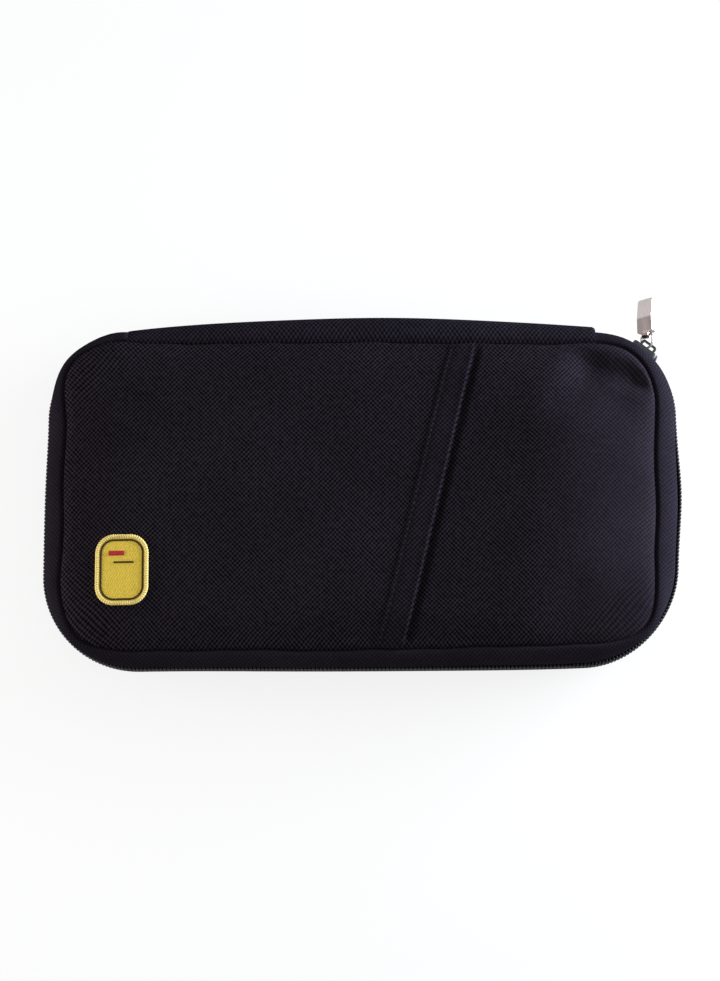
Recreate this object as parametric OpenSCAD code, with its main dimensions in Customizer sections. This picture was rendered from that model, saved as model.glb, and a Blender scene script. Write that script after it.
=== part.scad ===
// Zip-around travel document organizer, lying on its back cover.
// X runs along the width, Y from the zipped long edge to the spine, Z up through the front cover.
// The origin is the middle of the back cover's underside.

/* [Case] */
// Width across the zip chain
body_w = 240; // [215:1:275]
// Depth from the zipped long edge to the spine, across the zip chain
body_d = 130; // [118:1:150]
// Thickness from the back cover's crown to the front cover's crown
body_t = 24.4; // [23.6:0.2:30]
// Corner radius of the zip line beside the spine
corner_spine_r = 32; // [30:1:38]
// Corner radius of the zip line at the long zipped edge
corner_edge_r = 37; // [30:1:44]
// How far the cover seams lie in from the zip line
seam_inset = 7.6; // [7:0.2:10]
// Height of a cover's crown above its seam
crown_rise = 2.8; // [1.5:0.1:4]
// Width of the rounded shoulder between a cover's seam and its flat
crown_run = 12; // [8:0.5:16]

/* [Layers] */
// Thickness of the woven outer fabric
fabric_t = 0.9; // [0.5:0.1:1.2]
// Thickness of the lining
lining_t = 0.5; // [0.3:0.1:0.8]
// Thickness of an inner pocket panel
panel_t = 0.5; // [0.3:0.1:0.7]
// Depth of a cover's foam edge below the outer fabric's rim
rim_t = 0.85; // [0.6:0.05:1.2]
// Clearance between layers that are sewn together
sewn_gap = 0.05; // [0.02:0.01:0.1]
// Slack between a slip pocket and the layer under it
slip_gap = 0.25; // [0.15:0.05:0.3]

/* [Side bands] */
// Thickness of the side band
band_t = 1; // [0.6:0.1:1.4]
// How far the band's outer edge lies in from the zip line
band_inset = 1.4; // [1:0.1:2]
// Height of the band's zip edge from the zip plane
band_foot = 4.5; // [4.4:0.1:5.2]

/* [Front pocket] */
// Where the slanted mouth crosses the middle of the front cover
mouth_x = 30; // [-20:1:50]
// Slant of the mouth from the short side
mouth_angle = 14.2; // [0:0.2:25]
// Width of the binding on the mouth
mouth_binding_w = 9.4; // [6:0.2:14]
// Thickness of the binding
binding_t = 0.6; // [0.4:0.1:1]
// Width of the sewn patch
patch_w = 20; // [12:1:26]
// Height of the sewn patch
patch_d = 26; // [14:1:32]
// Corner radius of the sewn patch
patch_r = 7; // [3:0.5:9]
// Distance of the patch's middle from the left side
patch_from_side = 30.6; // [28:0.1:60]
// Distance of the patch's middle from the zipped long edge
patch_from_edge = 36.4; // [32:0.1:60]

/* [Spine] */
// How far the spine strip laps over the end of each side band
spine_past_bands = 1; // [0.5:0.5:4]
// How far the spine bows out in its middle, past its ends
spine_bow = 4.6; // [2:0.1:7]
// Distance of the two fold lines from the zip plane
fold_half = 6.2; // [5:0.1:7]
// Distance of the fold lines out from the zip line
fold_out = 0.5; // [0.4:0.1:1.5]

/* [Zip] */
// Diameter of one coil of the main zip
coil_d = 2.2; // [1.8:0.1:2.4]
// Half of the gap between the two coils, where the slider's wedge runs
coil_half_gap = 0.4; // [0.35:0.05:0.5]
// Thickness of the zip tape
tape_t = 0.6; // [0.4:0.1:0.8]
// Place of the slider on the corner beside the spine, up from the short side
slider_angle = 51.5; // [40:0.5:60]
// Length of the main slider
slider_l = 11; // [9:0.5:13]
// Diameter of the pull ring's wire
ring_wire_d = 0.9; // [0.7:0.1:0.9]
// Half width of the pull ring, to the middle of its wire
ring_half_w = 2.7; // [2.6:0.1:3.2]
// Straight length of the pull ring's arms
ring_arm = 1.4; // [1.3:0.1:2.5]
// Roll of the ring and the tab about the way they point
pull_roll = 45; // [42:1:48]
// Width of the pull tab
tab_w = 7.2; // [5.5:0.1:8]
// Thickness of the pull tab
tab_t = 0.8; // [0.6:0.1:0.8]
// Length of the pull tab from the ring's bar to its bend
tab_shank = 7; // [6:0.2:12]
// Length of the pull tab past its bend
tab_tip = 7.4; // [4:0.2:9]
// Bend of the pull tab's tip
tab_bend = 8; // [0:1:30]

/* [Inside pockets] */
// Distance of the document pocket's mouth from the spine
document_mouth_in = 35; // [34:1:45]
// Width of the document pocket's binding
document_binding_w = 6; // [4:0.5:8]
// Width of the card slots
card_w = 64; // [60:1:70]
// Distance of the rearmost card slot's mouth from the spine
card_mouth_in = 44; // [42:1:55]
// Step from one card slot to the next
card_step = 13; // [8:1:16]
// Space between the card slots and the passport pocket
pocket_gap = 7.8; // [5:0.2:16]
// Distance of the passport pocket's mouth from the spine
passport_mouth_in = 46; // [42:1:65]
// Depth of the mesh pocket between its panel and the lining
mesh_depth = 1.55; // [1.5:0.05:1.9]
// Distance of the mesh pocket's zip from the spine
mesh_zip_in = 29; // [28:0.5:31]
// Diameter of one coil of the mesh pocket's zip
mesh_coil_d = 1.5; // [1.3:0.1:1.6]
// Visible width of each tape of the mesh pocket's zip
mesh_tape_w = 8.6; // [7:0.2:9]
// Bore of the elastic pen loop
pen_bore_d = 8.4; // [7.6:0.2:8.8]
// Length of the pen loop
pen_loop_l = 22; // [14:1:30]
// Distance of the pen loop from the spine
pen_in = 19; // [18.5:0.5:19.5]

/* [Hidden] */
$fn = 64;

half_w = body_w / 2;
half_d = body_d / 2;
zip_z = body_t / 2;
seam_h = zip_z - crown_rise;
rim_h = seam_h - rim_t;
lining_h = rim_h - sewn_gap - lining_t;
spine_seam_y = half_d - seam_inset;
spine_corner = [half_w - corner_spine_r, half_d - corner_spine_r];
edge_corner = [half_w - corner_edge_r, half_d - corner_edge_r];
spine_mirror = [spine_corner.x, -spine_corner.y];
edge_mirror = [-edge_corner.x, edge_corner.y];
arc_steps = 8;
corner_steps = 10;
skin = 0.01;
far = 400;

// Everything in a cover is drawn upwards from the zip plane, and then stood on either side of it.
module front_side() { translate([0, 0, zip_z]) children(); }
module back_side() { translate([0, 0, zip_z]) mirror([0, 0, 1]) children(); }

// The case's plan, with its four round corners, drawn in by an inset.
module plan(inset = 0) {
    x1 = half_w - inset;
    y1 = half_d - inset;
    polygon([[spine_corner.x, y1], [-spine_corner.x, y1], -spine_mirror, [-x1, spine_corner.y],
        [-x1, -edge_corner.y], -edge_corner, [-edge_corner.x, -y1], [edge_corner.x, -y1], -edge_mirror,
        [x1, -edge_corner.y], [x1, spine_corner.y], spine_corner]);
    for (side = [-1, 1]) {
        translate([side * spine_corner.x, spine_corner.y]) circle(corner_spine_r - inset);
        translate([side * edge_corner.x, -edge_corner.y]) circle(corner_edge_r - inset);
    }
}

module slab(inset, low, high) { translate([0, 0, low]) linear_extrude(high - low) plan(inset); }

// A profile, drawn as inset and height, carried round one corner of the plan.
module corner_run(centre, radius, turn, angle = 90) {
    translate([centre.x, centre.y, 0]) rotate([0, 0, turn]) rotate_extrude(angle = angle)
        translate([radius, 0]) mirror([1, 0]) children();
}

// The same profile carried along a straight side, with the outward way turned from +X.
module side_run(start, turn, length) {
    translate([start.x, start.y, 0]) rotate([0, 0, turn]) rotate([90, 0, 0])
        linear_extrude(length) mirror([1, 0]) children();
}

// The profile round the zipped sides and all four corners, and along the spine where asked.
module zip_run(along_spine = false, first_angle = 90) {
    corner_run(spine_corner, corner_spine_r, 0, first_angle) children();
    side_run([half_w, spine_corner.y], 0, spine_corner.y + edge_corner.y) children();
    corner_run([edge_corner.x, -edge_corner.y], corner_edge_r, -90) children();
    side_run([edge_corner.x, -half_d], -90, 2 * edge_corner.x) children();
    corner_run([-edge_corner.x, -edge_corner.y], corner_edge_r, 180) children();
    side_run([-half_w, -edge_corner.y], 180, spine_corner.y + edge_corner.y) children();
    corner_run([-spine_corner.x, spine_corner.y], corner_spine_r, 90) children();
    if (along_spine) side_run([-spine_corner.x, half_d], 90, 2 * spine_corner.x) children();
}

// Covers

// Points round the plan at one height, corner by corner.
function corner_points(x, y, radius, from) = [for (step = [0:corner_steps])
    let (turn = from + 90 * step / corner_steps) [x + radius * cos(turn), y + radius * sin(turn)]];
function plan_loop(inset, height) = [for (point = concat(
    corner_points(spine_corner.x, spine_corner.y, corner_spine_r - inset, 0),
    corner_points(-spine_corner.x, spine_corner.y, corner_spine_r - inset, 90),
    corner_points(-edge_corner.x, -edge_corner.y, corner_edge_r - inset, 180),
    corner_points(edge_corner.x, -edge_corner.y, corner_edge_r - inset, 270))) [point.x, point.y, height]];

// Loops down a crowned pad: flat, then a quarter-round shoulder, and vertical at the seam.
function crown_loops(lift = 0, shrink = 0, base = 0) = [for (step = [arc_steps:-1:0])
    let (turn = 90 * step / arc_steps)
    plan_loop(seam_inset + sewn_gap + shrink + crown_run * (1 - cos(turn)),
        max(base, seam_h - shrink + crown_rise * sin(turn) + lift))];
function flipped(loops) = [for (index = [len(loops) - 1:-1:0]) loops[index]];

// A closed skin over a row of loops, with a fan across the first and the last of them.
module loft(loops) {
    count = len(loops[0]);
    last = 1 + count * len(loops);
    points = concat([[0, 0, loops[0][0].z]], [for (line = loops) for (point = line) point],
        [[0, 0, loops[len(loops) - 1][0].z]]);
    function at(row, col) = 1 + row * count + col % count;
    faces = concat(
        [for (c = [0:count - 1]) [0, at(0, c + 1), at(0, c)]],
        [for (r = [0:len(loops) - 2], c = [0:count - 1]) each
            [[at(r, c), at(r, c + 1), at(r + 1, c + 1)], [at(r, c), at(r + 1, c + 1), at(r + 1, c)]]],
        [for (c = [0:count - 1]) [last, at(len(loops) - 1, c), at(len(loops) - 1, c + 1)]]);
    polyhedron(points, faces);
}

// The layer between two lifts of the crown, open below.
module crown_layer(low, high) { loft(concat(crown_loops(high), flipped(crown_loops(low)))); }

module cover_panel() {
    rim = [plan_loop(seam_inset + sewn_gap, rim_h), plan_loop(seam_inset + sewn_gap + fabric_t, rim_h)];
    loft(concat(crown_loops(), rim, flipped(crown_loops(shrink = fabric_t, base = rim_h + skin))));
}

module cover_foam() {
    shrink = fabric_t + sewn_gap;
    loft(concat(crown_loops(shrink = shrink, base = rim_h + skin),
        [plan_loop(seam_inset + sewn_gap + shrink, rim_h)]));
}

module cover_lining() { slab(seam_inset + 2 * sewn_gap, lining_h, lining_h + lining_t); }

module back_panel() { color("#17171b") back_side() cover_panel(); }
module front_panel() { color("#17171b") front_side() cover_panel(); }
module back_foam() { color("#d8d5cc") back_side() cover_foam(); }
module front_foam() { color("#d8d5cc") front_side() cover_foam(); }
module back_lining() { color("#2b2b30") back_side() cover_lining(); }
module front_lining() { color("#2b2b30") front_side() cover_lining(); }

// Side bands

// Points of a quarter ellipse from the seam out to the zip edge, shrunk inwards by an offset.
function band_curve(offset, from, to) = [for (step = [0:arc_steps])
    let (turn = from + (to - from) * step / arc_steps)
    [seam_inset - (seam_inset - band_inset - offset) * sin(turn),
        band_foot + (seam_h - band_foot - offset) * cos(turn)]];

module band_profile() { polygon(concat(band_curve(0, 0, 90), band_curve(band_t, 90, 0))); }

module back_band() { color("#141418") back_side() zip_run() band_profile(); }
module front_band() { color("#141418") front_side() zip_run() band_profile(); }

// Bound seam edges, standing into the case all round each cover.
seam_allowance = 0.3;
bound_edge_t = 1.7;
bound_edge_h = 3.3;
binding_inset = [seam_inset + seam_allowance, seam_inset + seam_allowance + bound_edge_t];
binding_foot = lining_h - sewn_gap - bound_edge_h;

module seam_binding() {
    zip_run(along_spine = true) translate([binding_inset[0], binding_foot])
        square([binding_inset[1] - binding_inset[0], lining_h - sewn_gap - binding_foot]);
}

module back_seam_binding() { color("#1f1f24") back_side() seam_binding(); }
module front_seam_binding() { color("#1f1f24") front_side() seam_binding(); }

// Main zip

tape_offset = band_t + sewn_gap;
tape_inset = band_inset + tape_offset;
tape_overlap_from = 35;
coil_inset = tape_inset - coil_d / 2 - skin;
chain_half = coil_half_gap + coil_d;

module tape_profile() {
    polygon(concat(band_curve(tape_offset, tape_overlap_from, 90), [[tape_inset, coil_half_gap],
        [tape_inset + tape_t, coil_half_gap]], band_curve(tape_offset + tape_t, 90, tape_overlap_from)));
}

module coil_profile() { translate([coil_inset, coil_half_gap + coil_d / 2]) circle(coil_d / 2, $fn = 24); }

// The slider waits at the start of the zip, where a short run of chain beyond it stays joined.
// In that run the front half of the chain keeps to the back cover.
joined_from = slider_angle - slider_l / corner_spine_r * 30 - 4;
free_to = joined_from - 1;
joined_tape_top = band_foot - 0.5;

module joined_run() { corner_run(spine_corner, corner_spine_r, joined_from, 90 - joined_from) children(); }

module joined_tape_profile() {
    translate([tape_inset, coil_half_gap]) square([tape_t, joined_tape_top - coil_half_gap]);
}

module back_zip_tape() { color("#101013") back_side() zip_run() tape_profile(); }
module back_zip_coil() { color("#0b0b0d") back_side() zip_run() coil_profile(); }
module front_zip_tape() { color("#101013") front_side() zip_run(first_angle = free_to) tape_profile(); }
module front_zip_coil() { color("#0b0b0d") front_side() zip_run(first_angle = free_to) coil_profile(); }
module joined_zip_tape() { color("#101013") front_side() joined_run() joined_tape_profile(); }
module joined_zip_coil() { color("#0b0b0d") front_side() joined_run() coil_profile(); }

// Slanted front pocket, its binding and its patch

slip_low = slip_gap;
slip_high = slip_low + fabric_t;
binding_low = slip_high + sewn_gap;
binding_high = binding_low + binding_t;
binding_lip = 0.6;
patch_t = 1.2;

// All that lies between two lines parallel to the mouth, measured to its left.
module beside_mouth(near, reach) {
    translate([mouth_x, 0, 0]) rotate([0, 0, -mouth_angle]) translate([-reach, -far / 2, 0])
        cube([reach - near, far, far]);
}

module slant_pocket() {
    color("#17171b") front_side() intersection() {
        crown_layer(slip_low, slip_high);
        beside_mouth(0, far);
    }
}

module slant_binding() {
    color("#121216") front_side() {
        intersection() {
            crown_layer(binding_low, binding_high);
            beside_mouth(-binding_lip, mouth_binding_w);
        }
        intersection() {
            crown_layer(slip_low, binding_high);
            beside_mouth(-binding_lip, -sewn_gap);
        }
    }
}

module rounded(width, depth, radius) {
    square([width - 2 * radius, depth], center = true);
    square([width, depth - 2 * radius], center = true);
    for (x = [-1, 1], y = [-1, 1])
        translate([x * (width / 2 - radius), y * (depth / 2 - radius)]) circle(radius);
}

module patch() {
    color("#e0c233") front_side()
        translate([patch_from_side - half_w, patch_from_edge - half_d, zip_z + slip_high + sewn_gap])
        linear_extrude(patch_t) rounded(patch_w, patch_d, patch_r);
}

// Spine

spine_lift = 0.2;
spine_clear = 1.1;
spine_rows = 25;
spine_arc_rows = 8;

// Cross-section of a bowed strip: a quarter ellipse, a short flat, and a quarter ellipse again.
function spine_section(reach, rise) = concat(
    [for (step = [0:spine_arc_rows]) let (turn = 90 * step / spine_arc_rows)
        [spine_seam_y + reach * sin(turn), zip_z + band_foot + (rise - band_foot) * cos(turn)]],
    [for (step = [0:spine_arc_rows]) let (turn = 90 - 90 * step / spine_arc_rows)
        [spine_seam_y + reach * sin(turn), zip_z - band_foot - (rise - band_foot) * cos(turn)]]);

// The strip's rows from end to end, each reaching further out towards the middle.
function spine_grid(length, reach, rise) = [for (row = [0:spine_rows - 1])
    let (along = 2 * row / (spine_rows - 1) - 1)
    [for (point = spine_section(reach + spine_bow * (1 - along * along), rise))
        [along * length / 2, point[0], point[1]]]];

// A closed sheet between an outer and an inner grid of points.
module sheet(outer, inner) {
    rows = len(outer);
    cols = len(outer[0]);
    count = rows * cols;
    points = [for (grid = [outer, inner]) for (line = grid) for (point = line) point];
    function at(row, col, side) = side * count + row * cols + col;
    function quad(a, b, c, d) = [[a, b, c], [a, c, d]];
    faces = concat(
        [for (r = [0:rows - 2], c = [0:cols - 2])
            each quad(at(r, c, 0), at(r + 1, c, 0), at(r + 1, c + 1, 0), at(r, c + 1, 0))],
        [for (r = [0:rows - 2], c = [0:cols - 2])
            each quad(at(r, c, 1), at(r, c + 1, 1), at(r + 1, c + 1, 1), at(r + 1, c, 1))],
        [for (r = [0:rows - 2]) each concat(
            quad(at(r, 0, 0), at(r, 0, 1), at(r + 1, 0, 1), at(r + 1, 0, 0)),
            quad(at(r, cols - 1, 0), at(r + 1, cols - 1, 0), at(r + 1, cols - 1, 1), at(r, cols - 1, 1)))],
        [for (c = [0:cols - 2]) each concat(
            quad(at(0, c, 0), at(0, c + 1, 0), at(0, c + 1, 1), at(0, c, 1)),
            quad(at(rows - 1, c, 0), at(rows - 1, c, 1), at(rows - 1, c + 1, 1), at(rows - 1, c + 1, 0)))]);
    polyhedron(points, faces);
}

spine_reach = seam_inset - band_inset + spine_clear + fabric_t;

module spine_panel() {
    length = 2 * (spine_corner.x + spine_past_bands);
    rise = seam_h + spine_lift;
    color("#141418") sheet(spine_grid(length, spine_reach + fabric_t, rise + fabric_t),
        spine_grid(length, spine_reach, rise));
}

// Between the bands the spine is lined, and padded with a bowed strip behind its flat.
spine_lining_clear = 1;
spine_foam_t = 1.8;
spine_foam_half = fold_half - 1;
spine_lined_l = 2 * (spine_corner.x - spine_lining_clear);
spine_foam_reach = spine_reach - sewn_gap;
spine_lining_reach = spine_foam_reach - spine_foam_t - sewn_gap;

// A flat strip, bowed like the spine, at a reach from the spine's seams.
function bowed_strip(reach, half) = [for (row = [0:spine_rows - 1])
    let (along = 2 * row / (spine_rows - 1) - 1)
    [for (height = [half, 0, -half])
        [along * spine_lined_l / 2, spine_seam_y + reach + spine_bow * (1 - along * along),
            zip_z + height]]];

module spine_foam() {
    half = min(spine_foam_half, band_foot);
    color("#d8d5cc") sheet(bowed_strip(spine_foam_reach, half),
        bowed_strip(spine_foam_reach - spine_foam_t, half));
}

module spine_lining() {
    rise = seam_h - spine_lining_clear;
    color("#2b2b30") sheet(spine_grid(spine_lined_l, spine_lining_reach, rise),
        spine_grid(spine_lined_l, spine_lining_reach - lining_t, rise - lining_t));
}

// Inside of the back cover

pocket_inset = binding_inset[1] + 0.5;
document_mouth = half_d - document_mouth_in;
document_high = lining_h - slip_gap;
document_low = document_high - panel_t;
pocket_side = half_w - pocket_inset;
layer_step = panel_t + slip_gap;

// A flat pocket panel, cut to the case's plan and to its own sides and mouth.
module pocket_panel(left, right, mouth, low, high) {
    intersection() {
        slab(pocket_inset + 1, low, high);
        translate([left, -half_d, low - 1]) cube([right - left, half_d + mouth, high - low + 2]);
    }
}

module document_pocket() {
    color("#26262b") back_side() intersection() {
        slab(pocket_inset, document_low, document_high);
        translate([-half_w, -half_d, 0]) cube([body_w, half_d + document_mouth, far]);
    }
}

module document_binding() {
    high = document_low - sewn_gap;
    low = high - panel_t;
    color("#121216") back_side() difference() {
        translate([-pocket_side, document_mouth - document_binding_w, low])
            cube([2 * pocket_side, document_binding_w + binding_lip, document_high - low]);
        translate([-half_w, -half_d, high]) cube([body_w, half_d + document_mouth + sewn_gap, far]);
    }
}

card_left = -pocket_side + 1;
card_mouth = half_d - card_mouth_in;
passport_mouth = half_d - passport_mouth_in;

// One card slot, counted from the lining: each lies on the last and stops a step lower.
module card_slot(index) {
    high = document_low - slip_gap - index * layer_step;
    color("#232328") back_side() pocket_panel(card_left, card_left + card_w, card_mouth - index * card_step,
        high - panel_t, high);
}

module card_slot_rear() { card_slot(0); }
module card_slot_middle() { card_slot(1); }
module card_slot_front() { card_slot(2); }

module passport_pocket() {
    high = document_low - slip_gap;
    color("#26262b") back_side()
        pocket_panel(card_left + card_w + pocket_gap, pocket_side - 1, passport_mouth, high - panel_t, high);
}

pen_y = half_d - pen_in;
pen_wall = 0.7;
pen_foot_w = 12;
pen_r = pen_bore_d / 2 + pen_wall;
pen_h = lining_h - sewn_gap - pen_r;

module pen_loop() {
    color("#1a1a1e") back_side() translate([-pen_loop_l / 2, pen_y, pen_h]) difference() {
        union() {
            rotate([0, 90, 0]) cylinder(pen_loop_l, r = pen_r);
            translate([0, -pen_foot_w / 2, pen_r - pen_wall]) cube([pen_loop_l, pen_foot_w, pen_wall]);
        }
        translate([-1, 0, 0]) rotate([0, 90, 0]) cylinder(pen_loop_l + 2, d = pen_bore_d);
    }
}

// Inside of the front cover: a mesh pocket with a straight zip of its own

mesh_zip_y = half_d - mesh_zip_in;
mesh_high = lining_h - mesh_depth - sewn_gap;
mesh_low = mesh_high - panel_t;
mesh_tape_high = mesh_low - sewn_gap;
mesh_tape_low = mesh_tape_high - panel_t;
mesh_coil_h = mesh_tape_low - mesh_coil_d / 2 - skin;
mesh_half_gap = 0.35;
mesh_lap = 2;
mesh_top = mesh_zip_y - mesh_half_gap - mesh_tape_w + mesh_lap;
facing_low_y = mesh_zip_y + mesh_half_gap + mesh_tape_w - mesh_lap - 1.6;
mesh_hem_w = 2;
mesh_zip_half_l = spine_corner.x + 14;

module mesh_pocket() {
    color("#202024") front_side() intersection() {
        slab(pocket_inset, mesh_low, mesh_high);
        translate([-half_w, -half_d, 0]) cube([body_w, half_d + mesh_top, far]);
    }
}

module mesh_hem() {
    color("#121216") front_side() intersection() {
        difference() {
            slab(pocket_inset, mesh_high + sewn_gap, lining_h - sewn_gap);
            slab(pocket_inset + mesh_hem_w, 0, far);
        }
        translate([-half_w, -half_d, 0]) cube([body_w, half_d + mesh_top, far]);
    }
}

module mesh_facing() {
    color("#26262b") front_side() intersection() {
        slab(pocket_inset, mesh_low, lining_h - sewn_gap);
        translate([-half_w, facing_low_y, 0]) cube([body_w, half_d, far]);
    }
}

// One half of the straight zip, on the side of its line that is asked for.
module mesh_tape(side) {
    color("#101013") front_side()
        translate([-mesh_zip_half_l, mesh_zip_y + side * (mesh_half_gap + mesh_tape_w / 2) - mesh_tape_w / 2,
            mesh_tape_low]) cube([2 * mesh_zip_half_l, mesh_tape_w, panel_t]);
}

module mesh_coil(side) {
    color("#0b0b0d") front_side()
        translate([-mesh_zip_half_l, mesh_zip_y + side * (mesh_half_gap + mesh_coil_d / 2), mesh_coil_h])
            rotate([0, 90, 0]) cylinder(2 * mesh_zip_half_l, d = mesh_coil_d, $fn = 24);
}

module mesh_tape_lower() { mesh_tape(-1); }
module mesh_tape_upper() { mesh_tape(1); }
module mesh_coil_lower() { mesh_coil(-1); }
module mesh_coil_upper() { mesh_coil(1); }

// Sliders

slider_gap = 0.35;
slider_plate_t = 1.1;
slider_corner_r = 2;
flange_w = 1.1;
flange_gap = 0.4;
inner_gap = 0.6;
wedge_half_t = 0.2;
bridge_half_t = 0.6;
bridge_bar_t = 0.8;
bridge_post = 1;
bridge_set_in = 2.2;
bridge_corner_r = 1.2;
wedge_l = 2.6;
wedge_set_in = 1;

// A slider along X, with its chain below Z 0 and its bridge above: two plates, flanges, wedge and bridge.
module slider(length, half_chain, coil, tape, window, sag) {
    half_y = half_chain + flange_gap + flange_w;
    inner_top = -coil - tape - inner_gap - sag;
    inner_low = inner_top - slider_plate_t;
    plate_top = slider_gap + slider_plate_t;
    intersection() {
        translate([0, 0, inner_low]) linear_extrude(plate_top - inner_low)
            rounded(length, 2 * half_y, slider_corner_r);
        union() {
            translate([-length / 2, -half_y, slider_gap]) cube([length, 2 * half_y, slider_plate_t]);
            translate([-length / 2, -half_y, inner_low]) cube([length, 2 * half_y, slider_plate_t]);
            for (side = [0, 1]) mirror([0, side, 0])
                translate([-length / 2, half_y - flange_w, -coil + flange_gap])
                    cube([length, flange_w, coil - flange_gap + slider_gap]);
            translate([wedge_set_in - length / 2, -wedge_half_t, inner_low])
                cube([wedge_l, 2 * wedge_half_t, plate_top - inner_low]);
        }
    }
    translate([0, 0, plate_top]) rotate([90, 0, 0]) linear_extrude(2 * bridge_half_t, center = true)
        bridge(length - 2 * bridge_set_in, window);
}

// Side view of the bridge: two posts and a round-cornered bar over the window that the pull goes through.
module bridge(length, window) {
    top = window + bridge_bar_t;
    centre = [length / 2 - bridge_corner_r, top - bridge_corner_r];
    difference() {
        union() {
            translate([-length / 2, -skin]) square([length, centre.y + skin]);
            translate([-centre.x, -skin]) square([2 * centre.x, top + skin]);
            for (side = [-1, 1]) translate([side * centre.x, centre.y]) circle(bridge_corner_r);
        }
        translate([bridge_post - length / 2, -1]) square([length - 2 * bridge_post, window + 1]);
    }
}

ring_window = 2.4;
ring_seat = 0.1;
main_sag = corner_spine_r - sqrt(corner_spine_r * corner_spine_r - slider_l * slider_l / 4);
slider_r = corner_spine_r - (coil_inset - coil_d / 2);
bridge_r = slider_r + slider_gap + slider_plate_t + ring_window / 2 - ring_seat;
pull_pivot = [spine_corner.x + bridge_r * cos(slider_angle),
    spine_corner.y + bridge_r * sin(slider_angle), zip_z];

module zip_slider() {
    color("#b9b4b4") translate([spine_corner.x, spine_corner.y, zip_z]) rotate([0, 0, slider_angle])
        translate([slider_r, 0, 0]) rotate([90, 0, 90])
            slider(slider_l, chain_half, coil_d, tape_t, ring_window, main_sag);
}

// Pull: drawn along X from the bridge, then rolled and turned to point away from the case.
module pull_place() { translate(pull_pivot) rotate([0, 0, 90]) rotate([90 + pull_roll, 0, 0]) children(); }

ring_corner_r = 1;
ring_r = ring_wire_d / 2;
ring_reach = ring_half_w + ring_arm + ring_corner_r;

module ring_bend(centre, radius, turn, angle) {
    translate([centre.x, centre.y, 0]) rotate([0, 0, turn]) rotate_extrude(angle = angle)
        translate([radius, 0]) circle(ring_r, $fn = 24);
}

module ring_bar(start, turn, length) {
    translate([start.x, start.y, 0]) rotate([0, 0, turn]) rotate([0, 90, 0])
        cylinder(length, r = ring_r, $fn = 24);
}

module pull_ring() {
    arm_end = ring_reach - ring_corner_r;
    color("#b9b4b4") pull_place() {
        ring_bend([ring_half_w, 0], ring_half_w, 90, 180);
        for (side = [-1, 1]) ring_bar([ring_half_w, side * ring_half_w], 0, ring_arm);
        ring_bend([arm_end, ring_half_w - ring_corner_r], ring_corner_r, 0, 90);
        ring_bend([arm_end, ring_corner_r - ring_half_w], ring_corner_r, -90, 90);
        ring_bar([ring_reach, ring_corner_r - ring_half_w], 90, 2 * (ring_half_w - ring_corner_r));
    }
}

knuckle_gap = 0.08;
knuckle_r = ring_r + knuckle_gap + tab_t;
knuckle_w = 2 * (ring_half_w - ring_corner_r) - 0.4;
tab_tip_r = 1;
tab_shoulder_in = 0.6;

// Side view of the tab: a knuckle round the ring's bar, a straight shank and a bent tip.
module tab_side() {
    difference() {
        union() {
            circle(knuckle_r, $fn = 32);
            translate([0, -knuckle_r]) square([tab_shank, tab_t]);
            translate([tab_shank, -knuckle_r + tab_t / 2]) circle(tab_t / 2, $fn = 24);
            translate([tab_shank, -knuckle_r + tab_t / 2]) rotate(tab_bend)
                translate([0, -tab_t / 2]) square([tab_tip, tab_t]);
        }
        circle(ring_r + knuckle_gap, $fn = 32);
    }
}

module pull_tab() {
    shoulder = knuckle_r - tab_shoulder_in;
    reach = tab_shank + tab_tip;
    color("#b9b4b4") pull_place() translate([ring_reach, 0, 0]) intersection() {
        rotate([90, 0, 0]) linear_extrude(tab_w + 1, center = true) tab_side();
        translate([0, 0, -reach]) linear_extrude(2 * reach) {
            translate([-knuckle_r - 1, -knuckle_w / 2]) square([knuckle_r + shoulder + 2, knuckle_w]);
            translate([(reach + shoulder) / 2, 0]) rounded(reach - shoulder, tab_w, tab_tip_r);
        }
    }
}

// Slider and pull of the mesh pocket's zip

mesh_slider_l = 9;
mesh_window = 1.6;
mesh_slider_x = mesh_zip_half_l - mesh_slider_l / 2 - 3;
mesh_slider_h = mesh_coil_h - mesh_coil_d / 2;
mesh_pivot_h = mesh_slider_h - slider_gap - slider_plate_t - mesh_window / 2;
mesh_pull_l = 16;
mesh_pull_w = 4.4;
mesh_bar_d = 1;
mesh_arm_w = 0.8;
mesh_eye_l = 5;

module mesh_slider() {
    color("#b9b4b4") front_side() translate([mesh_slider_x, mesh_zip_y, mesh_slider_h]) rotate([180, 0, 0])
        slider(mesh_slider_l, mesh_half_gap + mesh_coil_d, mesh_coil_d, panel_t, mesh_window, 0);
}

module mesh_pull() {
    color("#b9b4b4") front_side() translate([mesh_slider_x, mesh_zip_y, mesh_pivot_h]) {
        rotate([90, 0, 0]) cylinder(mesh_pull_w, d = mesh_bar_d, center = true, $fn = 24);
        difference() {
            translate([-mesh_pull_l / 2, 0, -mesh_bar_d / 2]) linear_extrude(mesh_bar_d)
                rounded(mesh_pull_l, mesh_pull_w, 1);
            translate([-mesh_eye_l, -mesh_pull_w / 2 + mesh_arm_w, -mesh_bar_d])
                cube([mesh_eye_l + 1, mesh_pull_w - 2 * mesh_arm_w, 2 * mesh_bar_d]);
        }
    }
}

back_panel();
back_foam();
back_lining();
back_band();
back_zip_tape();
back_zip_coil();
joined_zip_tape();
joined_zip_coil();
back_seam_binding();
document_pocket();
document_binding();
card_slot_rear();
card_slot_middle();
card_slot_front();
passport_pocket();
pen_loop();
spine_panel();
spine_foam();
spine_lining();
front_panel();
front_foam();
front_lining();
front_band();
front_zip_tape();
front_zip_coil();
front_seam_binding();
slant_pocket();
slant_binding();
patch();
mesh_pocket();
mesh_hem();
mesh_facing();
mesh_tape_lower();
mesh_tape_upper();
mesh_coil_lower();
mesh_coil_upper();
zip_slider();
pull_ring();
pull_tab();
mesh_slider();
mesh_pull();
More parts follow.
